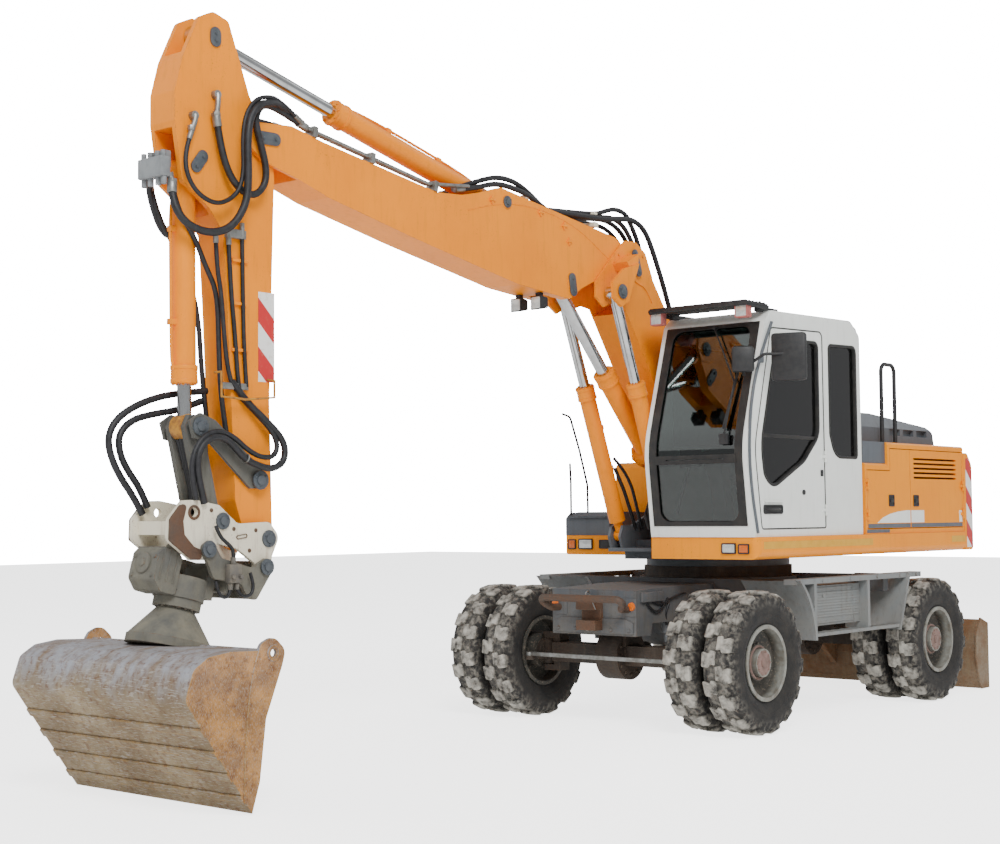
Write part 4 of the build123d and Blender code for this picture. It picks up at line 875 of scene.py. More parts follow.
def makeWipers():
    wipers = [bar(onScreen(*top), onScreen(*low), radius) for top, low, radius in wiperRods]
    motor, pivot = frontOf(2.17), frontOf(3.03)
    wipers += [block((motor - 0.002, 0.99, 2.13), (motor + 0.03, 1.07, 2.21), 0.008),
               bar((pivot - 0.01, 0.80, 3.035), (pivot + 0.04, 0.80, 3.035), 0.012)]
    assemble("wipers", blackPlastic, "upper", wipers)


# Door: bent rail on the pillar as (x, off the wall, z), recessed handle, lock, foot ledge
doorShape = {
    "rail": [(1.11, 0.008, 3.06), (1.28, 0.008, 2.80), (1.42, 0.006, 2.467), (1.462, 0.006, 2.06),
             (1.42, 0.006, 1.741), (1.375, 0.006, 1.568), (1.352, 0.006, 1.472)],
    "railRadius": 0.012, "handle": ((0.985, 1.612), (1.262, 1.682)), "dish": ((0.997, 1.624), (1.250, 1.670)),
    "grip": [(1.02, 0.0), (1.04, 0.022), (1.20, 0.022), (1.225, 0.0)], "gripZ": 1.648, "lock": (0.667, 1.777),
    "catch": ((0.36, 1.905), (0.40, 1.955)),
    "ledge": [(0.99, 1.700), (1.258, 1.700), (1.25, 1.716), (0.998, 1.716)],
}


def makeDoorFittings():
    face = cabShape["face"]
    rail = [hose([(x, face + off, z) for x, off, z in doorShape["rail"]], doorShape["railRadius"]),
            block((1.25, face - 0.004, 2.74), (1.30, face + 0.024, 2.79), 0.006)]
    assemble("pillarRail", hoodEnamel, "upper", rail)
    x, z = doorShape["lock"]
    handle = [plate(rectangle(*doorShape["handle"], 0.02), "y", face - 0.002, face + 0.008, 0.003, 0.012),
              plate(rectangle(*doorShape["dish"], 0.012), "y", face - 0.002, face + 0.003, 0.001),
              hose([(gripX, face + off, doorShape["gripZ"]) for gripX, off in doorShape["grip"]], 0.009),
              bar((x, face - 0.004, z), (x, face + 0.010, z), 0.020, 0.003),
              plate(rectangle(*doorShape["catch"], 0.006), "y", face, face + 0.006)]
    assemble("doorHandle", blackPlastic, "cab_door", handle)
    ledge = plate(rounded(doorShape["ledge"], 0.005), "y", face - 0.002, face + 0.014, 0.002)
    assemble("doorLedge", cabEnamel, "cab_door", [ledge])


# Roof: slats and cheeks of the visor, drain tube at the back, lifting ring
roofShape = {
    "slats": 6, "slatX": 1.155, "slatStep": 0.052, "slatZ": 3.199, "ends": (0.33, 1.20),
    "cheek": [(1.12, 3.150), (1.42, 3.165), (1.42, 3.19), (1.10, 3.185)],
    "cheeks": [(1.196, 1.210), (0.320, 0.334)],
    "drain": [(-0.10, 1.15, 3.16), (-0.28, 1.16, 3.155), (-0.30, 1.19, 3.08), (-0.291, 1.19, 2.45),
              (-0.291, 1.18, 2.25)],
}


def makeRoofFittings():
    right, left = roofShape["ends"]
    z = roofShape["slatZ"]
    roof = []
    for index in range(roofShape["slats"]):
        x = roofShape["slatX"] + roofShape["slatStep"] * index
        roof.append(bar((x, right, z), (x, left, z), 0.009))
    roof.append(block((1.40, 0.32, 3.165), (1.424, 1.208, 3.200), 0.005))
    roof += [plate(roofShape["cheek"], "y", start, end) for start, end in roofShape["cheeks"]]
    roof += [hose(roofShape["drain"], 0.012), ring((1.16, 1.16, 3.20), (0, 1, 0), 0.018, 0.004)]
    assemble("roofFittings", blackPlastic, "upper", roof)


# Mirrors: middle, half size of the shell, half size of the glass, degrees that it is turned outward
mirrors = {
    "mirrorMain": ((1.255, 1.46, 2.77), (0.032, 0.131, 0.179), (0.105, 0.15), 18),
    "mirrorSmall": ((1.43, 1.172, 2.76), (0.028, 0.083, 0.098), (0.062, 0.078), 30),
}


def makeMirrors():
    # Rounded shells whose glass looks back
    for name, (middle, (deep, wide, high), (glassWide, glassHigh), lean) in mirrors.items():
        turn = Matrix.Translation(middle) @ Matrix.Rotation(math.radians(lean), 4, "Z")
        shell = block((-deep, -wide, -high), (deep, wide, high), 0.024)
        back = -deep - 0.0002
        outline = rectangle((-glassWide, -glassHigh), (glassWide, glassHigh), 0.02)
        glass = plate(outline, "x", back, back - 0.003, 0.001)
        for piece in (shell, glass):
            moved(piece, turn)
        assemble(name + "Shell", blackPlastic, "upper", [shell])
        assemble(name, mirrorFace, "upper", [glass])


makeCabSeals()
makeWipers()
makeDoorFittings()
makeRoofFittings()
makeMirrors()
print("cab dressed")

# Lamps in place of the plain blocks: housing, rim and lens
lampShape = {
    "rim": 0.010, "corner": 0.012, "inset": 0.009, "lens": 0.010, "behindRim": 0.002,
    # Kind, lowest corner, highest corner
    "places": [
        ("clear", (1.3952, 0.940, 1.318), (1.409, 1.065, 1.398)),
        ("amber", (1.3952, 1.085, 1.318), (1.409, 1.180, 1.392)),
        ("clear", (0.5202, -1.082, 1.322), (0.534, -0.930, 1.412)),
        ("amber", (0.5202, -1.197, 1.322), (0.534, -1.112, 1.408)),
        ("plug", (0.5202, -0.860, 1.329), (0.532, -0.735, 1.405)),
        ("roof", (1.335, 0.320, 3.078), (1.405, 0.430, 3.176)),
        ("roof", (1.335, 1.087, 3.078), (1.405, 1.197, 3.176)),
    ],
    "boomSpread": 0.096, "boomLens": (0.040, 3.138, 3.224), "boomFront": 2.4975, "boomThick": 0.003,
}


def lampBox(low, high):
    # Housing that faces forward, with a shallow rim
    depth = high[0] - low[0]
    body = block(low, (high[0] - 0.3 * depth, high[1], high[2]), 0.006)
    outline = rectangle(low[1:], high[1:], lampShape["corner"])
    rim = plate(outline, "x", high[0] - 0.35 * depth, high[0], 0.003, lampShape["rim"])
    return [body, rim]


def lampLens(low, high):
    inset = lampShape["inset"]
    outline = rectangle((low[1] + inset, low[2] + inset), (high[1] - inset, high[2] - inset), 0.008)
    front = high[0] - lampShape["behindRim"]
    return plate(outline, "x", front - lampShape["lens"], front, 0.003)


def makeLamps():
    housings, roofFrames, clear, amber = [], [], [], []
    for kind, low, high in lampShape["places"]:
        (roofFrames if kind == "roof" else housings).extend(lampBox(low, high))
        if kind == "amber":
            amber.append(lampLens(low, high))
        elif kind != "plug":
            clear.append(lampLens(low, high))
    dark = assemble("lampHousings", blackPlastic, "upper", housings)
    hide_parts("lamps")
    assemble("workLampFrames", fadedRed, "upper", roofFrames)
    assemble("lampLenses", clearLens, "upper", clear)
    assemble("indicatorLenses", amberLens, "upper", amber)
    half, low, high = lampShape["boomLens"]
    front = lampShape["boomFront"]
    lenses = []
    for side in sides:
        y = boomPlane + side * lampShape["boomSpread"]
        outline = rectangle((y - half, low), (y + half, high), 0.01)
        lenses.append(plate(outline, "x", front, front + lampShape["boomThick"], 0.001))
    assemble("boomLampLenses", clearLens, "upper_boom", lenses)


makeLamps()


def strip(back, front, low, high):
    # Rectangle on a side wall, from back to front and from low to high
    return [(front, low), (front, high), (back, high), (back, low)]


# Stripes and painted bands: finish, body, slot, wall that they lie on, thickness, outlines as (x, z)
stripeTable = {
    "skirtStripe": (mustardTape, "upper", "deck_yellow", 1.2502, 0.0015,
                    [strip(-0.39, 1.31, 1.352, 1.408), strip(-2.14, -1.86, 1.352, 1.408)]),
    "tailStripe": (redWhiteTape, "upper", "deck_yellow", 1.2402, 0.0015,
                   [[(-2.325, 1.30), (-2.325, 1.98), (-2.26, 2.10), (-2.20, 2.10), (-2.20, 1.30)]]),
    "hoodBandFront": (hoodEnamel, "upper", "hood_grey", 1.2352, 0.0012, [strip(-0.72, -0.320, 1.45, 1.478)]),
    "hoodBandDoorFront": (hoodEnamel, "service_door_front", "hood_grey", 1.2352, 0.0012,
                          [strip(-1.1, -0.345, 1.490, 1.524)]),
    "hoodBandDoorRear": (hoodEnamel, "service_door_rear", "hood_grey", 1.2352, 0.0012,
                         [strip(-2.12, -1.118, 1.490, 1.524)]),
    "hoodWhiteFront": (cabEnamel, "service_door_front", "cab_white", 1.2352, 0.001,
                       [[(-0.50, 1.53), (-0.60, 1.575), (-0.725, 1.605), (-0.88, 1.625), (-1.037, 1.635),
                         (-1.10, 1.635), (-1.10, 1.53)]]),
    "hoodWhiteRear": (cabEnamel, "service_door_rear", "cab_white", 1.2352, 0.001,
                      [strip(-1.36, -1.118, 1.53, 1.635),
                       [(-2.06, 1.53), (-2.06, 1.635), (-2.12, 1.63), (-2.12, 1.53)]]),
    "stickStripe": (redWhiteTape, "stick", "boom_orange", 0.0862, 0.0015, [strip(5.075, 5.205, 2.44, 2.99)]),
}


def makeStripes():
    for name, (material, body, slot, wall, thick, outlines) in stripeTable.items():
        bands = [plate(points, "y", wall, wall + thick, 0) for points in outlines]
        assemble(name, material, body, bands)


makeStripes()

# Latches of the service doors, feet of the grab rail, rubber lip at the tail
hoodShape = {
    "wall": 1.2352, "latchHalf": 0.048, "latchLow": 1.667, "latchHigh": 1.765,
    "latches": {"latchFront": (-0.76, "service_door_front"), "latchRear": (-1.21, "service_door_rear")},
    "railFeet": (-0.96, -1.20), "railY": 1.06, "hoodTop": 2.206, "footThick": 0.010,
    "lip": (-2.325, 1.23, 2.02), "lipRadius": 0.006,
}


def makeHoodFittings():
    wall, half = hoodShape["wall"], hoodShape["latchHalf"]
    low, high = hoodShape["latchLow"], hoodShape["latchHigh"]
    for name, (x, body) in hoodShape["latches"].items():
        inset = 0.010
        surround = rectangle((x - half, low), (x + half, high), 0.012)
        dish = rectangle((x - half + inset, low + inset), (x + half - inset, high - inset), 0.008)
        latch = [plate(surround, "y", wall - 0.001, wall + 0.006, 0.002, 0.012),
                 plate(dish, "y", wall - 0.001, wall + 0.002, 0.001),
                 block((x - 0.030, wall + 0.001, 1.700), (x + 0.030, wall + 0.012, 1.732), 0.004)]
        assemble(name, blackPlastic, body, latch)
    feet = []
    y, level = hoodShape["railY"], hoodShape["hoodTop"]
    top = level + hoodShape["footThick"]
    for x in hoodShape["railFeet"]:
        feet.append(plate(oval((x - 0.03, y), (x + 0.03, y), 0.028), "z", level, top))
        for reach in (-0.042, 0.042):
            feet += bolt((x + reach, y, top), (0, 0, 1), 0.008, 0.006)
    assemble("railFeet", blackPlastic, "upper", feet)
    x, reach, z = hoodShape["lip"]
    lip = hose([(x, -reach, z), (x, reach, z)], hoodShape["lipRadius"])
    assemble("tailLip", blackRubber, "upper", [lip])


makeHoodFittings()
print("upper carriage dressed")

# Lock plates on pins: centre, far end, radius, face across y, thickness, body
pinPlates = {
    "headPlate": ((1.375, 3.665), (1.325, 3.525), 0.036, 0.160, 0.012, "base_boom"),
    "adjustPlate": ((2.135, 3.395), (2.120, 3.300), 0.040, 0.124, 0.011, "upper_boom"),
    "stickBasePlate": ((2.885, 3.868), (2.885, 3.868), 0.044, 0.124, 0.010, "upper_boom"),
    "stickPivotPlate": ((5.208, 3.935), (5.098, 3.939), 0.040, 0.120, 0.012, "upper_boom"),
    "bucketBasePlate": ((5.690, 3.685), (5.640, 3.752), 0.038, 0.086, 0.012, "stick"),
    "stickEyePlate": ((5.545, 4.512), (5.545, 4.470), 0.040, 0.086, 0.012, "stick"),
    "rockerPlate": ((5.230, 1.840), (5.225, 1.842), 0.058, 0.130, 0.012, "stick"),
    "rodEyePlate": ((5.675, 2.150), (5.672, 2.150), 0.056, 0.114, 0.012, "rocker"),
    "linkPinPlate": ((5.535, 1.597), (5.537, 1.597), 0.050, 0.150, 0.012, "coupler"),
    "couplerPinPlate": ((5.178, 1.488), (5.180, 1.488), 0.052, 0.150, 0.012, "coupler"),
    "hoistEyePlate": ((1.735, 3.318), (1.733, 3.318), 0.058, 0.304, 0.006, "base_boom"),
    "hoistBasePlate": ((1.005, 1.450), (1.003, 1.450), 0.050, 0.270, 0.012, "upper"),
    "bracketPinRear": ((5.668, 1.435), (5.666, 1.435), 0.050, 0.186, 0.012, "coupler"),
    "bracketPinFront": ((5.225, 1.320), (5.223, 1.320), 0.050, 0.186, 0.012, "coupler"),
}
pinShape = {"standOff": 0.030, "longPlate": 0.03, "boss": 0.55, "bossHeight": 0.010, "boltRing": 0.76}


def makePinPlates():
    # A long plate has a bolt at each end, a round one a boss and three small bolts
    for name, (start, end, radius, face, thick, body) in pinPlates.items():
        pieces = []
        for side in sides:
            level = boomPlane + side * (face + pinShape["standOff"])
            outer = level + side * thick
            pieces.append(plate(oval(start, end, radius), "y", level - side * 0.001, outer, 0.0025))
            if math.dist(start, end) > pinShape["longPlate"]:
                for x, z in (start, end):
                    pieces += bolt((x, outer, z), (0, side, 0), 0.011, 0.009)
                continue
            x, z = start
            pieces.append(bar((x, level, z), (x, outer + side * pinShape["bossHeight"], z),
                              radius * pinShape["boss"], 0.003))
            reach = pinShape["boltRing"] * radius
            for turn in (30, 150, 270):
                lean = math.radians(turn)
                spot = (x + reach * math.cos(lean), outer, z + reach * math.sin(lean))
                pieces += bolt(spot, (0, side, 0), 0.007, 0.006)
        assemble(name, lockPlateSteel, body, pieces)


makePinPlates()
print("pin plates made")

# Hoses: body, or two bodies and where the bend between them starts and ends, radius, points
foldBend = ("base_boom", "upper_boom", (1.15, 0, 3.80), (2.00, 0, 3.90))
stickBend = ("upper_boom", "stick", (5.22, 0, 4.12), (5.30, 0, 3.60))
curlBend = ("stick", "coupler", (5.30, 0, 2.10), (5.70, 0, 1.75))
hoseTable = {
    # Over the boom's head to the base boom's back
    "headOuter": (foldBend, 0.021,
                  [(2.36, 0.07, 3.885), (1.887, 0.09, 3.900), (1.70, 0.10, 3.905), (1.52, 0.10, 3.930),
                   (1.316, 0.10, 3.957), (1.144, 0.10, 3.893), (1.022, 0.10, 3.704),
                   (0.928, 0.10, 3.527), (0.835, 0.09, 3.368), (0.740, 0.08, 3.19)]),
    "headLoop": (foldBend, 0.019,
                 [(2.34, 0.03, 3.900), (1.95, 0.05, 3.925), (1.728, 0.06, 3.945), (1.593, 0.07, 3.995),
                  (1.501, 0.08, 4.012), (1.379, 0.08, 3.993), (1.300, 0.07, 3.925),
                  (1.200, 0.06, 3.810), (1.120, 0.05, 3.660), (1.040, 0.05, 3.500)]),
    "headInner": (foldBend, 0.019,
                  [(2.32, -0.02, 3.895), (1.90, 0.00, 3.905), (1.66, 0.02, 3.935), (1.50, 0.03, 3.955),
                   (1.36, 0.04, 3.910), (1.25, 0.04, 3.80), (1.16, 0.04, 3.66), (1.07, 0.02, 3.48)]),
    "headFar": (foldBend, 0.019, [(2.34, -0.08, 3.890), (1.90, -0.07, 3.900), (1.60, -0.08, 3.945),
                                  (1.40, -0.08, 3.955), (1.20, -0.08, 3.88), (1.07, -0.08, 3.70),
                                  (0.97, -0.08, 3.50), (0.80, -0.07, 3.24)]),
    "headFarLow": (foldBend, 0.017, [(2.30, -0.13, 3.885), (1.85, -0.13, 3.890), (1.55, -0.13, 3.920),
                                     (1.33, -0.13, 3.90), (1.14, -0.13, 3.77), (1.03, -0.13, 3.60),
                                     (0.90, -0.11, 3.38)]),
    # Along the boom's top behind the stick cylinder's foot
    "topOuter": ("upper_boom", 0.020, [(3.36, 0.075, 3.895), (3.20, 0.09, 3.925), (3.00, 0.10, 3.990),
                                       (2.811, 0.10, 3.990), (2.60, 0.10, 3.960), (2.36, 0.07, 3.885)]),
    "topMiddle": ("upper_boom", 0.019, [(3.34, 0.040, 3.910), (3.15, 0.055, 3.985), (2.98, 0.105, 4.040),
                                        (2.78, 0.105, 4.035), (2.56, 0.07, 3.985), (2.34, 0.03, 3.900)]),
    "topInner": ("upper_boom", 0.018, [(2.62, -0.01, 3.942), (2.50, -0.02, 3.938), (2.32, -0.02, 3.895)]),
    "topFar": ("upper_boom", 0.018, [(3.30, -0.13, 3.90), (3.00, -0.155, 3.985), (2.70, -0.13, 3.975),
                                     (2.34, -0.08, 3.890)]),
    # Big loops between the boom's end and the stick
    "loopA": (stickBend, 0.022,
              [(4.84, 0.095, 4.075), (5.10, 0.13, 4.140), (5.226, 0.15, 4.131), (5.281, 0.16, 4.070),
               (5.292, 0.16, 4.000), (5.245, 0.16, 3.87), (5.200, 0.155, 3.745),
               (5.204, 0.15, 3.640), (5.281, 0.15, 3.560), (5.378, 0.15, 3.566),
               (5.464, 0.15, 3.628), (5.517, 0.145, 3.725), (5.548, 0.135, 3.855),
               (5.566, 0.125, 3.990)]),
    "loopB": (stickBend, 0.014, [(4.90, 0.125, 4.095), (5.10, 0.17, 4.180), (5.215, 0.18, 4.179),
                                 (5.314, 0.18, 4.139), (5.389, 0.18, 4.033), (5.411, 0.18, 3.879),
                                 (5.400, 0.18, 3.714), (5.421, 0.175, 3.586), (5.485, 0.17, 3.511),
                                 (5.589, 0.165, 3.463), (5.692, 0.155, 3.489), (5.764, 0.145, 3.551),
                                 (5.800, 0.13, 3.649), (5.790, 0.12, 3.769), (5.745, 0.115, 3.880)]),
    "loopC": (stickBend, 0.024,
              [(4.86, 0.075, 4.10), (5.08, 0.15, 4.160), (5.204, 0.19, 4.140), (5.303, 0.20, 4.106),
               (5.368, 0.20, 4.018), (5.395, 0.205, 3.882), (5.384, 0.205, 3.633),
               (5.400, 0.20, 3.481), (5.495, 0.19, 3.336), (5.630, 0.17, 3.282),
               (5.763, 0.13, 3.310), (5.834, 0.10, 3.388), (5.850, 0.07, 3.496), (5.842, 0.06, 3.56)]),
    "loopFar": (stickBend, 0.020, [(4.86, -0.10, 4.09), (5.10, -0.19, 4.150), (5.25, -0.21, 4.06),
                                   (5.32, -0.21, 3.85), (5.36, -0.21, 3.62), (5.50, -0.20, 3.42),
                                   (5.657, -0.19, 3.290), (5.739, -0.18, 3.342), (5.80, -0.17, 3.453),
                                   (5.850, -0.15, 3.560), (5.865, -0.13, 3.65)]),
    # Down the stick's front
    "downOne": ("stick", 0.016, [(5.845, 0.050, 3.60), (5.80, 0.050, 3.42), (5.674, 0.052, 3.28),
                                 (5.585, 0.055, 3.10), (5.500, 0.058, 2.96), (5.490, 0.060, 2.60),
                                 (5.475, 0.064, 2.30), (5.42, 0.064, 2.05)]),
    "downTwo": ("stick", 0.016, [(5.842, -0.150, 3.60), (5.79, -0.152, 3.42), (5.66, -0.155, 3.25),
                                 (5.54, -0.150, 3.05), (5.495, -0.120, 2.80), (5.488, -0.105, 2.50),
                                 (5.45, -0.100, 2.20)]),
    "downThree": ("stick", 0.014, [(5.550, 0.100, 3.30), (5.540, 0.100, 3.10), (5.505, 0.098, 2.96),
                                   (5.480, 0.096, 2.70), (5.455, 0.098, 2.50), (5.425, 0.100, 2.42)]),
    "downFour": ("stick", 0.014, [(5.456, 0.105, 3.30), (5.440, 0.106, 3.00), (5.400, 0.102, 2.70),
                                  (5.380, 0.102, 2.45), (5.36, 0.102, 2.34)]),
    "downFive": ("stick", 0.013, [(5.350, 0.105, 3.36), (5.345, 0.106, 3.00), (5.330, 0.102, 2.60),
                                  (5.310, 0.102, 2.40)]),
    # Near loop at the stick's lower end, and the far pair, to the coupler
    "nearLoop": (curlBend, 0.021, [(5.425, 0.100, 2.430), (5.331, 0.125, 2.308), (5.204, 0.150, 2.205),
                                   (5.084, 0.160, 2.105), (5.051, 0.165, 2.020), (5.084, 0.170, 1.940),
                                   (5.18, 0.175, 1.905), (5.276, 0.175, 1.925), (5.37, 0.170, 1.959),
                                   (5.432, 0.170, 2.005), (5.501, 0.175, 2.065), (5.591, 0.180, 2.095),
                                   (5.681, 0.180, 2.069), (5.739, 0.175, 1.992), (5.740, 0.170, 1.899),
                                   (5.715, 0.165, 1.80), (5.680, 0.160, 1.70)]),
    "nearLoopThin": (curlBend, 0.016, [(5.36, 0.102, 2.34), (5.26, 0.135, 2.24), (5.15, 0.15, 2.14),
                                       (5.11, 0.16, 2.05), (5.15, 0.165, 1.98), (5.25, 0.165, 1.975),
                                       (5.36, 0.165, 2.02), (5.46, 0.170, 2.09), (5.58, 0.17, 2.13),
                                       (5.70, 0.17, 2.09), (5.77, 0.165, 1.98), (5.775, 0.16, 1.86),
                                       (5.74, 0.16, 1.72)]),
    "farLoop": (curlBend, 0.021, [(5.47, -0.12, 2.32), (5.62, -0.145, 2.26), (5.80, -0.16, 2.23),
                                  (5.95, -0.17, 2.19), (6.045, -0.17, 2.10), (6.03, -0.17, 1.98),
                                  (5.965, -0.17, 1.88), (5.89, -0.165, 1.79), (5.84, -0.16, 1.68)]),
    "farLoopOuter": (curlBend, 0.021, [(5.45, -0.10, 2.38), (5.66, -0.13, 2.36), (5.88, -0.15, 2.30),
                                       (6.06, -0.16, 2.20), (6.125, -0.165, 2.08), (6.09, -0.165, 1.95),
                                       (6.02, -0.165, 1.84), (5.94, -0.16, 1.74), (5.88, -0.155, 1.64)]),
}
ferruleShape = {"behind": 0.012, "ahead": 0.055, "sleeve": 1.22, "nutEnd": 0.030, "nutStart": 0.008,
                "nut": 1.35}


def ferrule(here, after, radius):
    # Crimped steel sleeve at a hose's end, with its six-sided nut
    here, way = Vector(here), (Vector(after) - Vector(here)).normalized()
    shape = ferruleShape
    sleeve = bar(here - way * shape["behind"], here + way * shape["ahead"], radius * shape["sleeve"],
                 0.002, 16)
    nut = bar(here - way * shape["nutEnd"], here - way * shape["nutStart"], radius * shape["nut"], 0.002, 6)
    return [sleeve, nut]


def makeHoses():
    hoses, steel = {}, {}
    for body, radius, points in hoseTable.values():
        hoses.setdefault(body, []).append(hose(points, radius))
        if body == stickBend:
            steel.setdefault("stick", []).extend(ferrule(points[-1], points[-2], radius))
        if body in (stickBend, "stick", "upper_boom"):
            owner = body if body == "stick" else "upper_boom"
            steel.setdefault(owner, []).extend(ferrule(points[0], points[1], radius))
    for index, (body, tubes) in enumerate(hoses.items()):
        assemble("hoseGroup_" + str(index), hoseRubber, body, tubes, 60)
    for body, pieces in steel.items():
        assemble("hoseEnds_" + body, zincSteel, body, pieces)


makeHoses()
print("hoses made")

# Clamps, cleats and brackets that hold the hoses on the booms
boomShape = {
    "clampLow": ((1.775, -0.150, 3.828), (1.830, 0.110, 3.868)),
    "clampHigh": ((1.778, -0.145, 3.925), (1.827, 0.105, 3.945)),
    "topClamps": [(2.36, 3.845), (2.62, 3.930)],
    "cleats": [(2.50, 3.845), (2.22, 3.78), (2.16, 3.67), (3.05, 3.86)],
    "weld": [(1.60, 3.56), (1.774, 3.652), (2.084, 3.800), (2.503, 3.875), (2.959, 3.860), (3.306, 3.751)],
    "wall": 0.119, "weldY": 0.1195, "weldRadius": 0.0045,
}


def makeBoomClamps():
    clamps = [block(*boomShape["clampLow"], 0.006), block(*boomShape["clampHigh"], 0.005)]
    for x, z in boomShape["topClamps"]:
        clamps.append(block((x - 0.022, -0.140, z), (x + 0.022, 0.100, z + 0.030), 0.005))
    assemble("boomClamps", creamEnamel, "upper_boom", clamps)
    wall = boomShape["wall"]
    cleats = []
    for x, z in boomShape["cleats"]:
        cleats += [block((x - 0.030, wall, z - 0.008), (x + 0.030, wall + 0.015, z + 0.008), 0.003),
                   block((x - 0.008, wall, z - 0.030), (x + 0.008, wall + 0.011, z + 0.030), 0.003)]
    cleats.append(hose([(x, boomShape["weldY"], z) for x, z in boomShape["weld"]], boomShape["weldRadius"]))
    assemble("boomCleats", boomEnamel, "upper_boom", cleats)


# Stick: bent guard round the hoses, elbows where two hoses come in, valve block at its head
stickShape = {
    "wall": 0.086, "guardRadius": 0.008,
    "guard": [(5.545, 0.088, 2.476), (5.545, 0.150, 2.476), (5.545, 0.150, 2.330), (5.36, 0.155, 2.320),
              (5.131, 0.150, 2.343), (5.131, 0.150, 2.445), (5.131, 0.088, 2.453)],
    # Each elbow's boss on the wall and the hose's end below it
    "elbows": [((5.551, 4.137), (5.566, 0.125, 4.00)), ((5.720, 3.980), (5.745, 0.115, 3.885))],
    "brackets": [((5.325, 0.086, 3.29), (5.475, 0.118, 3.345)), ((5.30, 0.086, 2.38), (5.50, 0.112, 2.42))],
    "strap": (5.37, 0.170, 1.968),
    "valve": [((5.86, -0.155, 3.60), (5.93, 0.070, 3.72), 0.008),
              ((5.84, -0.12, 3.66), (5.88, 0.05, 3.76), 0.006)],
    "ports": (-0.13, -0.07, 0.0, 0.05),
    "tabs": [(5.40, 3.16), (5.41, 2.90), (5.40, 2.62)],
}


def makeStickFittings():
    wall = stickShape["wall"]
    guard = hose(stickShape["guard"], stickShape["guardRadius"], kind="POLY")
    assemble("hoseGuard", warmCast, "stick", [guard])
    fittings = []
    for (x, z), low in stickShape["elbows"]:
        fittings.append(bar((x, wall - 0.002, z), (x, 0.125, z), 0.026, 0.003, 16))
        fittings.append(hose([(x, 0.118, z), (x, 0.130, z - 0.02), low], 0.017))
        fittings.append(bar((low[0], low[1], low[2] + 0.03), low, 0.024, 0.002, 6))
    fittings += [block(low, high, 0.005) for low, high in stickShape["brackets"]]
    fittings.append(ring(stickShape["strap"], (1, 0, 0.3), 0.024, 0.005))
    assemble("stickFittings", zincSteel, "stick", fittings)
    valve = [block(low, high, edge) for low, high, edge in stickShape["valve"]]
    for y in stickShape["ports"]:
        valve.append(bar((5.895, y, 3.60), (5.895, y, 3.555), 0.019, 0.002, 6))
        valve.append(bar((5.90, y, 3.72), (5.90, y, 3.755), 0.017, 0.002, 6))
    assemble("stickValve", toolGrey, "stick", valve)
    tabs = [block((x - 0.10, wall - 0.001, z - 0.010), (x + 0.02, wall + 0.019, z + 0.010), 0.003)
            for x, z in stickShape["tabs"]]
    assemble("stickTabs", boomEnamel, "stick", tabs)


# Cylinders: foot and eye as (x, z), planes across y, barrel radius, collar's place, pipe's start and end
cylinders = {
    "hoist_barrels": {"foot": (1.005, 1.450), "eye": (1.735, 3.318), "planes": (0.217, -0.277),
                      "radius": 0.074, "collar": 1.275, "pipe": (0.30, 1.16)},
    "adjust_barrel": {"foot": (0.965, 2.100), "eye": (2.135, 3.358), "planes": (boomPlane,), "radius": 0.085,
                      "collar": 0.858},
    "stick_barrel": {"foot": (2.885, 3.868), "eye": (5.545, 4.512), "planes": (boomPlane,), "radius": 0.085,
                     "collar": 1.640, "pipe": (0.22, 1.50)},
    "bucket_barrel": {"foot": (5.690, 3.675), "eye": (5.675, 2.150), "planes": (boomPlane,), "radius": 0.078,
                      "collar": 1.270},
}
collarShape = {"flange": (0.030, 0.004, 1.06), "band": (0.110, 0.085, 1.05), "boltRing": 0.82, "bolts": 8}


def cylinderFeet(shape):
    # Each cylinder's foot, and the way from it to the eye
    (x, z), (eyeX, eyeZ) = shape["foot"], shape["eye"]
    way = Vector((eyeX - x, 0, eyeZ - z)).normalized()
    return [Vector((x, y, z)) for y in shape["planes"]], way


def makeCollars():
    # Bolted flange and welded band round each barrel's open end
    for body, shape in cylinders.items():
        radius = shape["radius"]
        feet, way = cylinderFeet(shape)
        side = way.cross(Vector((0, 1, 0)))
        collars = []
        for foot in feet:
            spot = foot + way * shape["collar"]
            for (start, end, grow), corners in ((collarShape["flange"], 12), (collarShape["band"], 32)):
                collars.append(bar(spot - way * start, spot - way * end, radius * grow, 0.003, corners))
            for index in range(collarShape["bolts"]):
                lean = math.tau * index / collarShape["bolts"]
                out = Vector((0, 1, 0)) * math.cos(lean) + side * math.sin(lean)
                collars += bolt(spot + out * radius * collarShape["boltRing"], way, 0.008, 0.008)
        assemble("collar_" + body, boomEnamel, body, collars)


pipeShape = {"radius": 0.010, "rise": 0.016, "sink": 0.01, "clip": 0.024, "clipHalf": 0.018,
             "clips": (0.3, 0.7)}


def makeCylinderPipes():
    # Steel pipe along the barrel, bent down into it at both ends, with two clips
    for body, shape in cylinders.items():
        if "pipe" not in shape:
            continue
        first, last = shape["pipe"]
        feet, way = cylinderFeet(shape)
        rise = Vector((-way.z, 0, way.x))
        inside, outside = shape["radius"] - pipeShape["sink"], shape["radius"] + pipeShape["rise"]
        lines = []
        for foot in feet:
            spots = [foot + way * reach + rise * height for reach, height in
                     ((first, inside), (first + 0.05, outside), (last - 0.06, outside), (last, inside))]
            lines.append(hose(spots, pipeShape["radius"]))
            for share in pipeShape["clips"]:
                clip = foot + way * (first + share * (last - first)) + rise * (shape["radius"] + 0.006)
                half = way * pipeShape["clipHalf"]
                lines.append(bar(clip - half, clip + half, pipeShape["clip"], 0.003, 12))
        assemble("cylinderPipe_" + body, boomEnamel, body, lines)


makeBoomClamps()
makeStickFittings()
makeCollars()
makeCylinderPipes()
print("booms dressed")

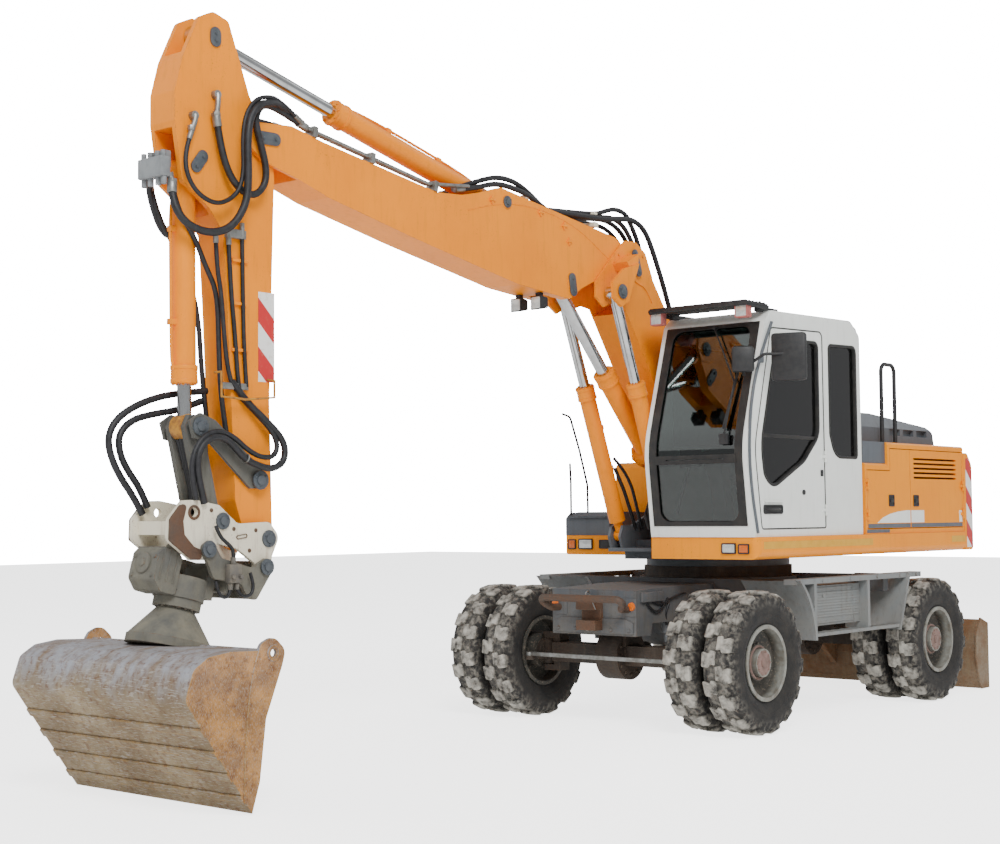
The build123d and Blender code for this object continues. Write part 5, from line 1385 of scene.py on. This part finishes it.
# Chassis front: lamp plates, bolted plate, side markers and towing pin
frontShape = {
    "face": 1.7502, "lampPlates": (0.330, -0.330), "markers": (0.365, -0.365),
    "bolts": (-0.34, -0.17, 0.17, 0.34),
    "plate": [(-0.375, 0.715), (0.375, 0.715), (0.375, 0.800), (0.30, 0.830), (-0.30, 0.830), (-0.375, 0.80)],
    "pinX": 1.822,
    "chain": [(1.83, 0.02, 1.00), (1.86, 0.06, 0.985), (1.865, 0.085, 0.94), (1.85, 0.095, 0.90)],
}


def makeChassisFront():
    face = frontShape["face"]
    front = []
    for y in frontShape["lampPlates"]:
        outline = rectangle((y - 0.045, 0.850), (y + 0.075, 0.985), 0.01)
        front.append(plate(outline, "x", face, 1.758, 0.002))
    front.append(plate(rounded(frontShape["plate"], 0.012), "x", face, 1.760, 0.003))
    for y in frontShape["bolts"]:
        front += bolt((1.760, y, 0.745), (1, 0, 0), 0.013, 0.010)
    front += [block((1.42, side * 0.401, 0.955), (1.70, side * 0.425, 1.030), 0.004) for side in sides]
    assemble("frontPlates", chassisEnamel, "chassis", front)
    markers = [bar((1.756, y, 0.925), (1.774, y, 0.925), 0.034, 0.006, 24, 0.029)
               for y in frontShape["markers"]]
    assemble("frontMarkers", amberLens, "chassis", markers)
    x = frontShape["pinX"]
    pin = [bar((x, 0, 0.965), (x, 0, 1.000), 0.030, 0.004), bar((x, 0, 0.735), (x, 0, 0.80), 0.018),
           ring((x, 0, 1.010), (0, 1, 0), 0.024, 0.006), hose(frontShape["chain"], 0.004)]
    assemble("towPin", zincSteel, "chassis", pin)


# Lock cylinders over the front axle, and hoses as (x, off the middle, z), the same on both sides
lockShape = {
    "x": 1.245, "y": 0.335,
    "bars": [(0.700, 0.795, 0.048, 0.004, 28), (0.63, 0.71, 0.030, 0.002, 20),
             (0.786, 0.796, 0.060, 0.002, 28)],
    "hoses": [
        (0.010, [(1.29, 0.355, 0.77), (1.33, 0.385, 0.78), (1.36, 0.395, 0.83), (1.36, 0.405, 0.88),
                 (1.33, 0.408, 0.93)]),
        (0.011, [(1.34, 0.408, 0.97), (1.42, 0.412, 0.90), (1.50, 0.412, 0.87), (1.58, 0.412, 0.90),
                 (1.64, 0.408, 0.96)]),
        (0.009, [(1.64, 0.408, 0.99), (1.52, 0.412, 0.94), (1.40, 0.412, 0.93), (1.28, 0.412, 0.98),
                 (1.10, 0.408, 1.00)]),
        (0.011, [(-0.60, 0.408, 0.92), (-0.85, 0.412, 0.88), (-1.10, 0.412, 0.92), (-1.35, 0.412, 0.90),
                 (-1.60, 0.408, 0.95)]),
    ],
}


def makeLockCylinders():
    x = lockShape["x"]
    locks, soft = [], []
    for side in sides:
        y = side * lockShape["y"]
        for low, high, radius, edge, corners in lockShape["bars"]:
            locks.append(bar((x, y, low), (x, y, high), radius, edge, corners))
        for radius, points in lockShape["hoses"]:
            soft.append(hose([(px, side * py, pz) for px, py, pz in points], radius))
    assemble("lockCylinders", toolGrey, "chassis", locks)
    assemble("chassisHoses", hoseRubber, "chassis", soft, 60)


# Tool chests: lid frame, lock and screws; bolts and tread bars on the step rails; bolts of the axle housings
chestShape = {
    "face": 1.1752, "low": (-0.185, 0.752), "high": (0.625, 1.035), "lock": (0.30, 0.965),
    "screws": [(x, z) for x in (-0.15, 0.59) for z in (0.775, 1.012)],
    "railBolts": (-1.15, -0.85, -0.45, 0.0, 0.45, 0.80), "stepBolts": (-0.80, -0.10, 0.60),
    "treadBars": 11, "treadStart": -0.80, "treadStep": 0.135, "treadWide": 0.045,
    "axleBolts": 12, "axleRing": 0.150, "axleFace": 0.106,
}


def makeChests():
    chest, rails = [], []
    for side in sides:
        face = side * chestShape["face"]
        chest.append(plate(rectangle(chestShape["low"], chestShape["high"], 0.012), "y", face - side * 0.001,
                           face + side * 0.0035, 0.0015, 0.018))
        x, z = chestShape["lock"]
        chest.append(bar((x, face, z), (x, face + side * 0.008, z), 0.024, 0.002, 20))
        for x, z in chestShape["screws"]:
            chest += bolt((x, face, z), (0, side, 0), 0.008, 0.006)
        for x in chestShape["railBolts"]:
            rails += bolt((x, side * 1.2502, 1.09), (0, side, 0), 0.011, 0.009)
        for x in chestShape["stepBolts"]:
            rails += bolt((x, side * 1.2652, 0.677), (0, side, 0), 0.007, 0.006)
        for index in range(chestShape["treadBars"]):
            x = chestShape["treadStart"] + chestShape["treadStep"] * index
            rails.append(block((x, side * 1.170, 0.690), (x + chestShape["treadWide"], side * 1.262, 0.694),
                               0.001))
    assemble("chestDetails", sideEnamel, "chassis", chest + rails)


def makeAxleBolts():
    bolts = []
    reach, face = chestShape["axleRing"], chestShape["axleFace"]
    for end in (1, -1):
        for index in range(chestShape["axleBolts"]):
            lean = math.tau * index / chestShape["axleBolts"]
            x = end * tyreShape["hubX"] + reach * math.cos(lean)
            z = tyreShape["radius"] + reach * math.sin(lean)
            for side in sides:
                bolts += bolt((x, side * face, z), (0, side, 0), 0.011, 0.010)
    assemble("axleBolts", axlePaint, "chassis", bolts)


makeChassisFront()
makeLockCylinders()
makeChests()
makeAxleBolts()
print("chassis dressed")

# Deck: tread strips of the step, loops of hose at the boom's foot, bundles to the hoist cylinders
deckShape = {
    "edge": ((0.515, -1.20, 1.590), (0.535, -0.78, 1.606)),
    "tab": ((0.5202, -0.70, 1.345), (0.524, -0.66, 1.39)),
    "treads": (0.0, 0.12, 0.24, 0.36), "loopRadius": 0.017,
    # Each loop's place across the deck and its height
    "loops": [(0.235, 1.90), (0.20, 1.84), (0.165, 1.78)],
    "hoistSpread": 0.247, "hoistInset": 0.075,
    # Points as (x, off the bundle's plane, z)
    "hoistHoses": [
        (0.015, [(0.90, 0, 1.50), (0.98, 0, 1.66), (1.06, 0, 1.82), (1.12, 0.01, 1.92), (1.165, 0.01, 1.99)]),
        (0.013, [(0.86, -0.03, 1.50), (0.94, -0.03, 1.72), (1.00, -0.03, 1.86), (1.10, -0.02, 1.99),
                 (1.19, 0, 2.07)]),
    ],
}


def makeDeckFittings():
    box = [block(*deckShape["edge"], 0.003), block(*deckShape["tab"], 0.001)]
    for x in deckShape["treads"]:
        box.append(block((x, -1.18, 1.6400), (x + 0.05, -0.80, 1.6445), 0.0015))
    assemble("stepTread", chassisEnamel, "upper", box)
    loops = []
    for index, (y, z) in enumerate(deckShape["loops"]):
        points = [(0.62, y - 0.30, 1.56), (0.80, y - 0.25, 1.70 + 0.05 * index), (0.93, y - 0.20, z - 0.06),
                  (1.02, y - 0.18, z - 0.16), (1.05, y - 0.16, 1.60), (1.03, y - 0.14, 1.50)]
        loops.append(hose(points, deckShape["loopRadius"]))
    assemble("deckHoses", hoseRubber, "upper", loops, 60)
    for name, side in (("hoistHoseLeft", 1), ("hoistHoseRight", -1)):
        y = boomPlane + side * deckShape["hoistSpread"]
        inner = y - side * deckShape["hoistInset"]
        pieces = [hose([(px, inner + side * py, pz) for px, py, pz in points], radius)
                  for radius, points in deckShape["hoistHoses"]]
        bend = ("upper", "hoist_barrels", (0.90, y, 1.50), (1.10, y, 1.95))
        assemble(name, hoseRubber, bend, pieces, 60)


# Base boom: hoses down its back under three clamps, grease pipe and bolts at its head
backShape = {
    "planes": (-0.10, -0.055, 0.0, 0.05, 0.085), "radius": 0.017,
    "line": [(0.80, 3.23), (0.66, 3.02), (0.45, 2.72), (0.22, 2.38), (0.02, 2.10), (-0.06, 1.95)],
    "clamps": [(0.66, 3.00), (0.30, 2.50), (0.04, 2.12)],
    "topClamp": ((0.945, -0.13, 3.300), (0.985, 0.10, 3.345)),
    "greasePipe": [(1.42, 0.1435, 3.52), (1.36, 0.147, 3.44), (1.20, 0.1445, 3.42), (1.12, 0.1445, 3.30)],
    "headBolts": [(1.56, 3.64), (1.62, 3.58), (1.24, 3.66), (1.50, 3.44)], "wall": 0.1422,
}


def makeBoomBack():
    lines = [hose([(x, y, z) for x, z in backShape["line"]], backShape["radius"])
             for y in backShape["planes"]]
    assemble("boomBackHoses", hoseRubber, "base_boom", lines, 60)
    clamps = [block(*backShape["topClamp"], 0.005)]
    for x, z in backShape["clamps"]:
        clamps.append(block((x - 0.03, -0.13, z - 0.005), (x + 0.02, 0.115, z + 0.045), 0.006))
    assemble("boomBackClamps", creamEnamel, "base_boom", clamps)
    head = [hose(backShape["greasePipe"], 0.004)]
    for x, z in backShape["headBolts"]:
        head += bolt((x, backShape["wall"], z), (0, 1, 0), 0.010, 0.008)
    assemble("boomHeadBolts", boomEnamel, "base_boom", head)


makeDeckFittings()
makeBoomBack()
print("deck dressed")

# Coupler: keeper plate, bolts, worn hook plates, tilt cylinder's valve with its short hoses
couplerShape = {
    "face": 0.1502, "farFace": -0.2102, "keeper": ((5.36, 1.508), (5.42, 1.500)),
    "bolts": [(5.28, 1.54), (5.33, 1.42), (5.62, 1.66), (5.45, 1.55)],
    "hookY": 0.180, "hookThick": 0.010, "hookPin": (5.748, 1.648),
    "hook": [(5.70, 1.374), (5.77, 1.374), (5.935, 1.49), (5.930, 1.61), (5.86, 1.69), (5.80, 1.70),
             (5.83, 1.60), (5.82, 1.52), (5.75, 1.45), (5.69, 1.43)],
    "ports": (5.475, 5.525),
    "hoses": [
        (0.010, [(5.475, 0.207, 1.20), (5.46, 0.215, 1.165), (5.42, 0.225, 1.15), (5.37, 0.225, 1.17),
                 (5.36, 0.222, 1.23), (5.38, 0.216, 1.29)]),
        (0.010, [(5.525, 0.207, 1.20), (5.54, 0.215, 1.16), (5.59, 0.22, 1.15), (5.63, 0.22, 1.19),
                 (5.64, 0.215, 1.25)]),
        (0.011, [(5.50, 0.205, 1.38), (5.50, 0.21, 1.43), (5.55, 0.205, 1.47), (5.60, 0.20, 1.51),
                 (5.62, 0.19, 1.57)]),
    ],
}


def makeCouplerFittings():
    face, farFace = couplerShape["face"], couplerShape["farFace"]
    keepers = [plate(oval(*couplerShape["keeper"], 0.012), "y", face - 0.001, face + 0.006, 0.001, 0.004)]
    for x, z in couplerShape["bolts"]:
        keepers += bolt((x, face, z), (0, 1, 0), 0.010, 0.008)
        keepers += bolt((x, farFace, z), (0, -1, 0), 0.010, 0.008)
    assemble("couplerKeepers", castRust, "coupler", keepers)
    hooks = []
    x, z = couplerShape["hookPin"]
    for side in sides:
        level = boomPlane + side * couplerShape["hookY"]
        outer = level + side * couplerShape["hookThick"]
        hooks.append(plate(rounded(couplerShape["hook"], 0.02), "y", level, outer, 0.003))
        hooks.append(ring((x, level + side * 0.002, z), (0, 1, 0), 0.036, 0.008))
    assemble("hookPlates", castRust, "coupler", hooks)
    valve = [block((5.455, 0.182, 1.235), (5.545, 0.232, 1.345), 0.006),
             bar((5.50, 0.205, 1.345), (5.50, 0.205, 1.385), 0.016)]
    valve += [bar((x, 0.232, 1.27), (x, 0.252, 1.27), 0.014, 0.002, 6) for x in (5.47, 5.53)]
    valve += [bar((x, 0.207, 1.235), (x, 0.207, 1.195), 0.015, 0.002, 12) for x in couplerShape["ports"]]
    assemble("tiltValve", dirtyCast, "coupler", valve)
    loops = [hose(points, radius) for radius, points in couplerShape["hoses"]]
    assemble("tiltHoses", hoseRubber, "coupler", loops, 60)
    eye = bar((5.675, -0.080, 2.150), (5.675, 0.020, 2.150), 0.077, 0.005, 36)
    assemble("rodEye", warmCast, "bucket_rod", [eye])


# Tilting rotator, drawn level with its tilt axis along x: ribs, end cover, rings of bolts
rotatorShape = {
    "axis": (5.479, boomPlane, 1.233), "slope": 15, "ribs": (0.365, 0.415, 0.465), "cover": 0.499,
    "screws": [(y, z) for y in (-0.09, 0.09) for z in (-0.07, 0.04)], "turning": 0.209,
    # Bolts, first bolt's angle, ring's radius, height, way they face, head's size and height
    "rings": [(16, 11, 0.118, -0.2055, -1, 0.009, 0.006), (12, 0, 0.225, -0.3895, 1, 0.013, 0.011)],
}


def tipped(pieces):
    # Turns level pieces onto the tilt axis
    turn = Matrix.Translation(rotatorShape["axis"])
    turn = turn @ Matrix.Rotation(-math.radians(rotatorShape["slope"]), 4, "Y")
    for piece in pieces:
        moved(piece, turn)
    return pieces


def makeRotatorFittings():
    head = [block((x - 0.006, -0.124, -0.09), (x + 0.006, 0.124, 0.104), 0.003) for x in rotatorShape["ribs"]]
    cover = rotatorShape["cover"]
    head.append(bar((cover, 0, 0), (cover + 0.013, 0, 0), 0.060, 0.004, 28))
    head.append(bar((cover, 0, 0), (cover + 0.021, 0, 0), 0.024, 0.003, 6))
    for y, z in rotatorShape["screws"]:
        head += bolt((cover + 0.001, y, z), (1, 0, 0), 0.010, 0.008)
    assemble("gearHousingRibs", gearEnamel, "tilt_head", tipped(head))
    bolts = []
    for count, first, reach, z, way, size, height in rotatorShape["rings"]:
        for index in range(count):
            lean = math.radians(360 * index / count + first)
            spot = (rotatorShape["turning"] + reach * math.cos(lean), reach * math.sin(lean), z)
            bolts += bolt(spot, (0, 0, way), size, height)
    assemble("rotorBolts", dirtyCast, "rotor", tipped(bolts))


# Bucket: weld beads above and below each strip, beads on the cheeks, rings round the ears
bucketShape = {
    "edge": (5.845, 0.012), "corner": (6.305, 0.655), "strips": 4, "firstStrip": 0.13, "stripStep": 0.2,
    "stripHalf": 0.024, "across": (-0.826, -0.3, 0.2, 0.766), "half": 0.8, "ear": (5.690, 0.868),
    "cheek": [(5.900, 0.10), (5.895, 0.69), (5.79, 0.90)],
}


def makeBucketDetails():
    (edgeX, edgeZ), (cornerX, cornerZ) = bucketShape["edge"], bucketShape["corner"]
    beads = []
    for index in range(bucketShape["strips"]):
        share = bucketShape["firstStrip"] + bucketShape["stripStep"] * index
        for reach in (-bucketShape["stripHalf"], bucketShape["stripHalf"]):
            x = edgeX + share * (cornerX - edgeX) + 0.0033 + reach * 0.58
            z = edgeZ + share * (cornerZ - edgeZ) - 0.0023 + reach * 0.81
            beads.append(hose([(x, y, z) for y in bucketShape["across"]], 0.0055, steps=2))
    for side in sides:
        level = boomPlane + side * bucketShape["half"]
        beads.append(hose([(x, level, z) for x, z in bucketShape["cheek"]], 0.005))
        x, z = bucketShape["ear"]
        beads.append(ring((x, level, z), (0, 1, 0), 0.038, 0.009))
    assemble("bucketBeads", bucketSteel, "rotor", beads)


# Hoses between the link plates, and the pipe with its clips down the bucket cylinder
linkShape = {
    "hoses": [(-0.055, 0.0), (-0.030, 0.012), (-0.005, 0.024)], "hoseRadius": 0.015,
    "pipe": [(5.77, 3.50), (5.785, 3.44), (5.782, 3.20), (5.775, 2.60), (5.765, 2.50), (5.740, 2.47)],
    "pipeRadius": 0.010, "clips": (3.30, 2.75),
}


def makeLinkHoses():
    soft = []
    for y, spread in linkShape["hoses"]:
        soft.append(hose([(5.70, y, 2.08 + spread), (5.66, y, 1.95), (5.62, y, 1.82),
                          (5.60 + spread, y, 1.72), (5.63 + spread, y, 1.64)], linkShape["hoseRadius"]))
    assemble("linkHoses", hoseRubber, "link", soft, 60)
    pipe = [hose([(x, boomPlane, z) for x, z in linkShape["pipe"]], linkShape["pipeRadius"])]
    for z in linkShape["clips"]:
        pipe.append(block((5.742, boomPlane - 0.020, z), (5.794, boomPlane + 0.020, z + 0.035), 0.004))
    assemble("bucketPipe", boomEnamel, "bucket_barrel", pipe)


makeCouplerFittings()
makeRotatorFittings()
makeBucketDetails()
makeLinkHoses()
print("tool dressed")

# Driver's seat, in place of the plain cushion and back. Each pad: lowest and highest corner about its middle
seatShape = {
    "middle": 0.7635, "puff": 0.014, "seamPlace": 0.45, "lean": -9, "hinge": (0.13, 0, 2.02),
    "cushions": [(0.012, (0.165, -0.235, 1.905), (0.668, 0.235, 2.020)),
                 (0.001, (0.175, -0.240, 1.93), (0.640, -0.170, 2.038)),
                 (0.001, (0.175, 0.170, 1.93), (0.640, 0.240, 2.038))],
    "backs": [((0.085, -0.225, 2.02), (0.185, 0.225, 2.50)), ((0.110, -0.235, 2.04), (0.215, -0.165, 2.44)),
              ((0.110, 0.165, 2.04), (0.215, 0.235, 2.44)), ((0.095, -0.14, 2.52), (0.180, 0.14, 2.675))],
    "posts": (-0.05, 0.05),
}


def pad(low, high, sag=0.0):
    # Foam block: rounded, divided, its broad face puffed between the seams. With sag it is a cushion
    clearSelection()
    middle = [(a + b) / 2 for a, b in zip(low, high)]
    bpy.ops.mesh.primitive_cube_add(size=1, location=middle, scale=[b - a for a, b in zip(low, high)])
    bpy.ops.object.transform_apply(location=True, rotation=False, scale=True)
    bpy.ops.object.mode_set(mode="EDIT")
    bpy.ops.mesh.select_all(action="SELECT")
    bpy.ops.mesh.subdivide(number_cuts=9)
    bpy.ops.object.mode_set(mode="OBJECT")
    piece = bpy.context.object
    for vertex in piece.data.vertices:
        share = [(c - a) / (b - a) * 2 - 1 for a, c, b in zip(low, vertex.co, high)]
        squeeze = 1 - 0.10 * (sum(abs(value) ** 4 for value in share) - 1)
        depth = share[0] if sag else share[2]
        seam = 1 - 0.6 * math.exp(-((abs(share[1]) - seatShape["seamPlace"]) / 0.07) ** 2)
        crease = 1 - 0.5 * math.exp(-(depth / 0.08) ** 2)
        puffed = seatShape["puff"] * seam * crease * (1 - depth ** 4) * (1 - share[1] ** 4)
        vertex.co = [m + (c - m) * squeeze for m, c in zip(middle, vertex.co)]
        if sag and share[2] > 0.9:
            vertex.co.z += puffed - sag * (1 - share[1] ** 2)
        if not sag and share[0] > 0.9:
            vertex.co.x += puffed
    soften = piece.modifiers.new("soft", "SUBSURF")
    soften.levels = 1
    bpy.ops.object.modifier_apply(modifier="soft")
    if not sag:
        piece.data.transform(turned(seatShape["hinge"], "Y", seatShape["lean"]))
    return piece


def makeSeat():
    middle = seatShape["middle"]

    def placed(corner):
        return (corner[0], middle + corner[1], corner[2])

    pads = [pad(placed(low), placed(high), sag) for sag, low, high in seatShape["cushions"]]
    pads += [pad(placed(low), placed(high)) for low, high in seatShape["backs"]]
    seat = assemble("seatPads", seatCloth, "upper", pads, 60)
    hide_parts("driver_seat")
    shell = [plate(rectangle((0.18, 1.890), (0.66, 1.912), 0.008), "y", middle - 0.22, middle + 0.22, 0.004)]
    shell += [bar((0.10, middle + y, 2.47), (0.03, middle + y, 2.66), 0.008) for y in seatShape["posts"]]
    assemble("seatShell", blackPlastic, "upper", shell)


# Inside the cab: monitor on its arm, lever heads, arm rests, rolled sun blind
insideShape = {
    "monitor": ((1.16, 0.44, 1.98), (1.20, 0.62, 2.12)),
    "arm": [(1.18, 0.52, 1.99), (1.20, 0.46, 1.80), (1.22, 0.42, 1.62)],
    "restY": 0.33, "restHalf": 0.045, "roll": ((1.13, 0.42, 3.055), (1.13, 1.10, 3.055)),
    "rearRail": ((-0.215, 0.43, 3.00), (-0.19, 1.09, 3.03)),
}


def makeCabInside():
    inside = [block(*insideShape["monitor"], 0.010), hose(insideShape["arm"], 0.012)]
    for side in sides:
        y = seatShape["middle"] + side * insideShape["restY"]
        half = insideShape["restHalf"]
        inside.append(bar((0.64, y, 2.29), (0.645, y, 2.40), 0.026, 0.010, 16, 0.020))
        inside.append(block((0.24, y - half, 2.180), (0.62, y + half, 2.215), 0.014))
    assemble("cabInside", blackPlastic, "upper", inside)
    blind = [bar(*insideShape["roll"], 0.020), block(*insideShape["rearRail"], 0.004)]
    assemble("sunBlind", greyPlastic, "upper", blind)


makeSeat()
makeCabInside()
print("cab furnished")

# Floor, backdrop and lights
stageShape = {
    "floor": 90, "drop": 0.001,
    # Strength of the floor's glow and of the sky: where they light the machine, where the camera sees them
    "floorGlow": (0.35, 2.6), "sky": (0.97, 0.98, 1.0), "skyStrength": (0.5, 20.0),
    # Name, place, size, power
    "lights": [("key", (14, 14, 16), 8, 4200), ("fill", (12, -10, 10), 12, 500),
               ("back", (-14, 4, 12), 12, 600)],
    "aim": (0, 0, 1.5),
}


def whiterWhenSeen(owner, strengths, socket):
    # Brighter where the camera looks at it than where it lights the machine
    seen = addNode(owner, "ShaderNodeLightPath").outputs["Is Camera Ray"]
    strength = addNode(owner, "ShaderNodeMapRange",
                       {"Value": seen, "To Min": strengths[0], "To Max": strengths[1]})
    owner.node_tree.links.new(strength.outputs[0], socket)


def setStage():
    bpy.ops.mesh.primitive_plane_add(size=stageShape["floor"], location=(0, 0, -stageShape["drop"]))
    floor = bpy.context.object
    floor.name = "floor"
    pale = plainFinish("paleFloor", "#FBFBFA", "#F8F8F7", 0.9, 0.5, edge=0, Emission_Color=(1, 1, 1, 1))
    whiterWhenSeen(pale, stageShape["floorGlow"],
                   pale.node_tree.nodes["Principled BSDF"].inputs["Emission Strength"])
    floor.data.materials.append(pale)
    world = bpy.data.worlds.new("softLight")
    bpy.context.scene.world = world
    world.use_nodes = True
    background = world.node_tree.nodes["Background"]
    background.inputs["Color"].default_value = (*stageShape["sky"], 1)
    whiterWhenSeen(world, stageShape["skyStrength"], background.inputs["Strength"])
    for name, place, size, power in stageShape["lights"]:
        lightData = bpy.data.lights.new(name, "AREA")
        lightData.size = size
        lightData.energy = power
        light = bpy.data.objects.new(name, lightData)
        light.location = place
        light.rotation_euler = (Vector(stageShape["aim"]) - Vector(place)).to_track_quat("-Z", "Y").to_euler()
        bpy.context.scene.collection.objects.link(light)


setStage()
print("stage set")
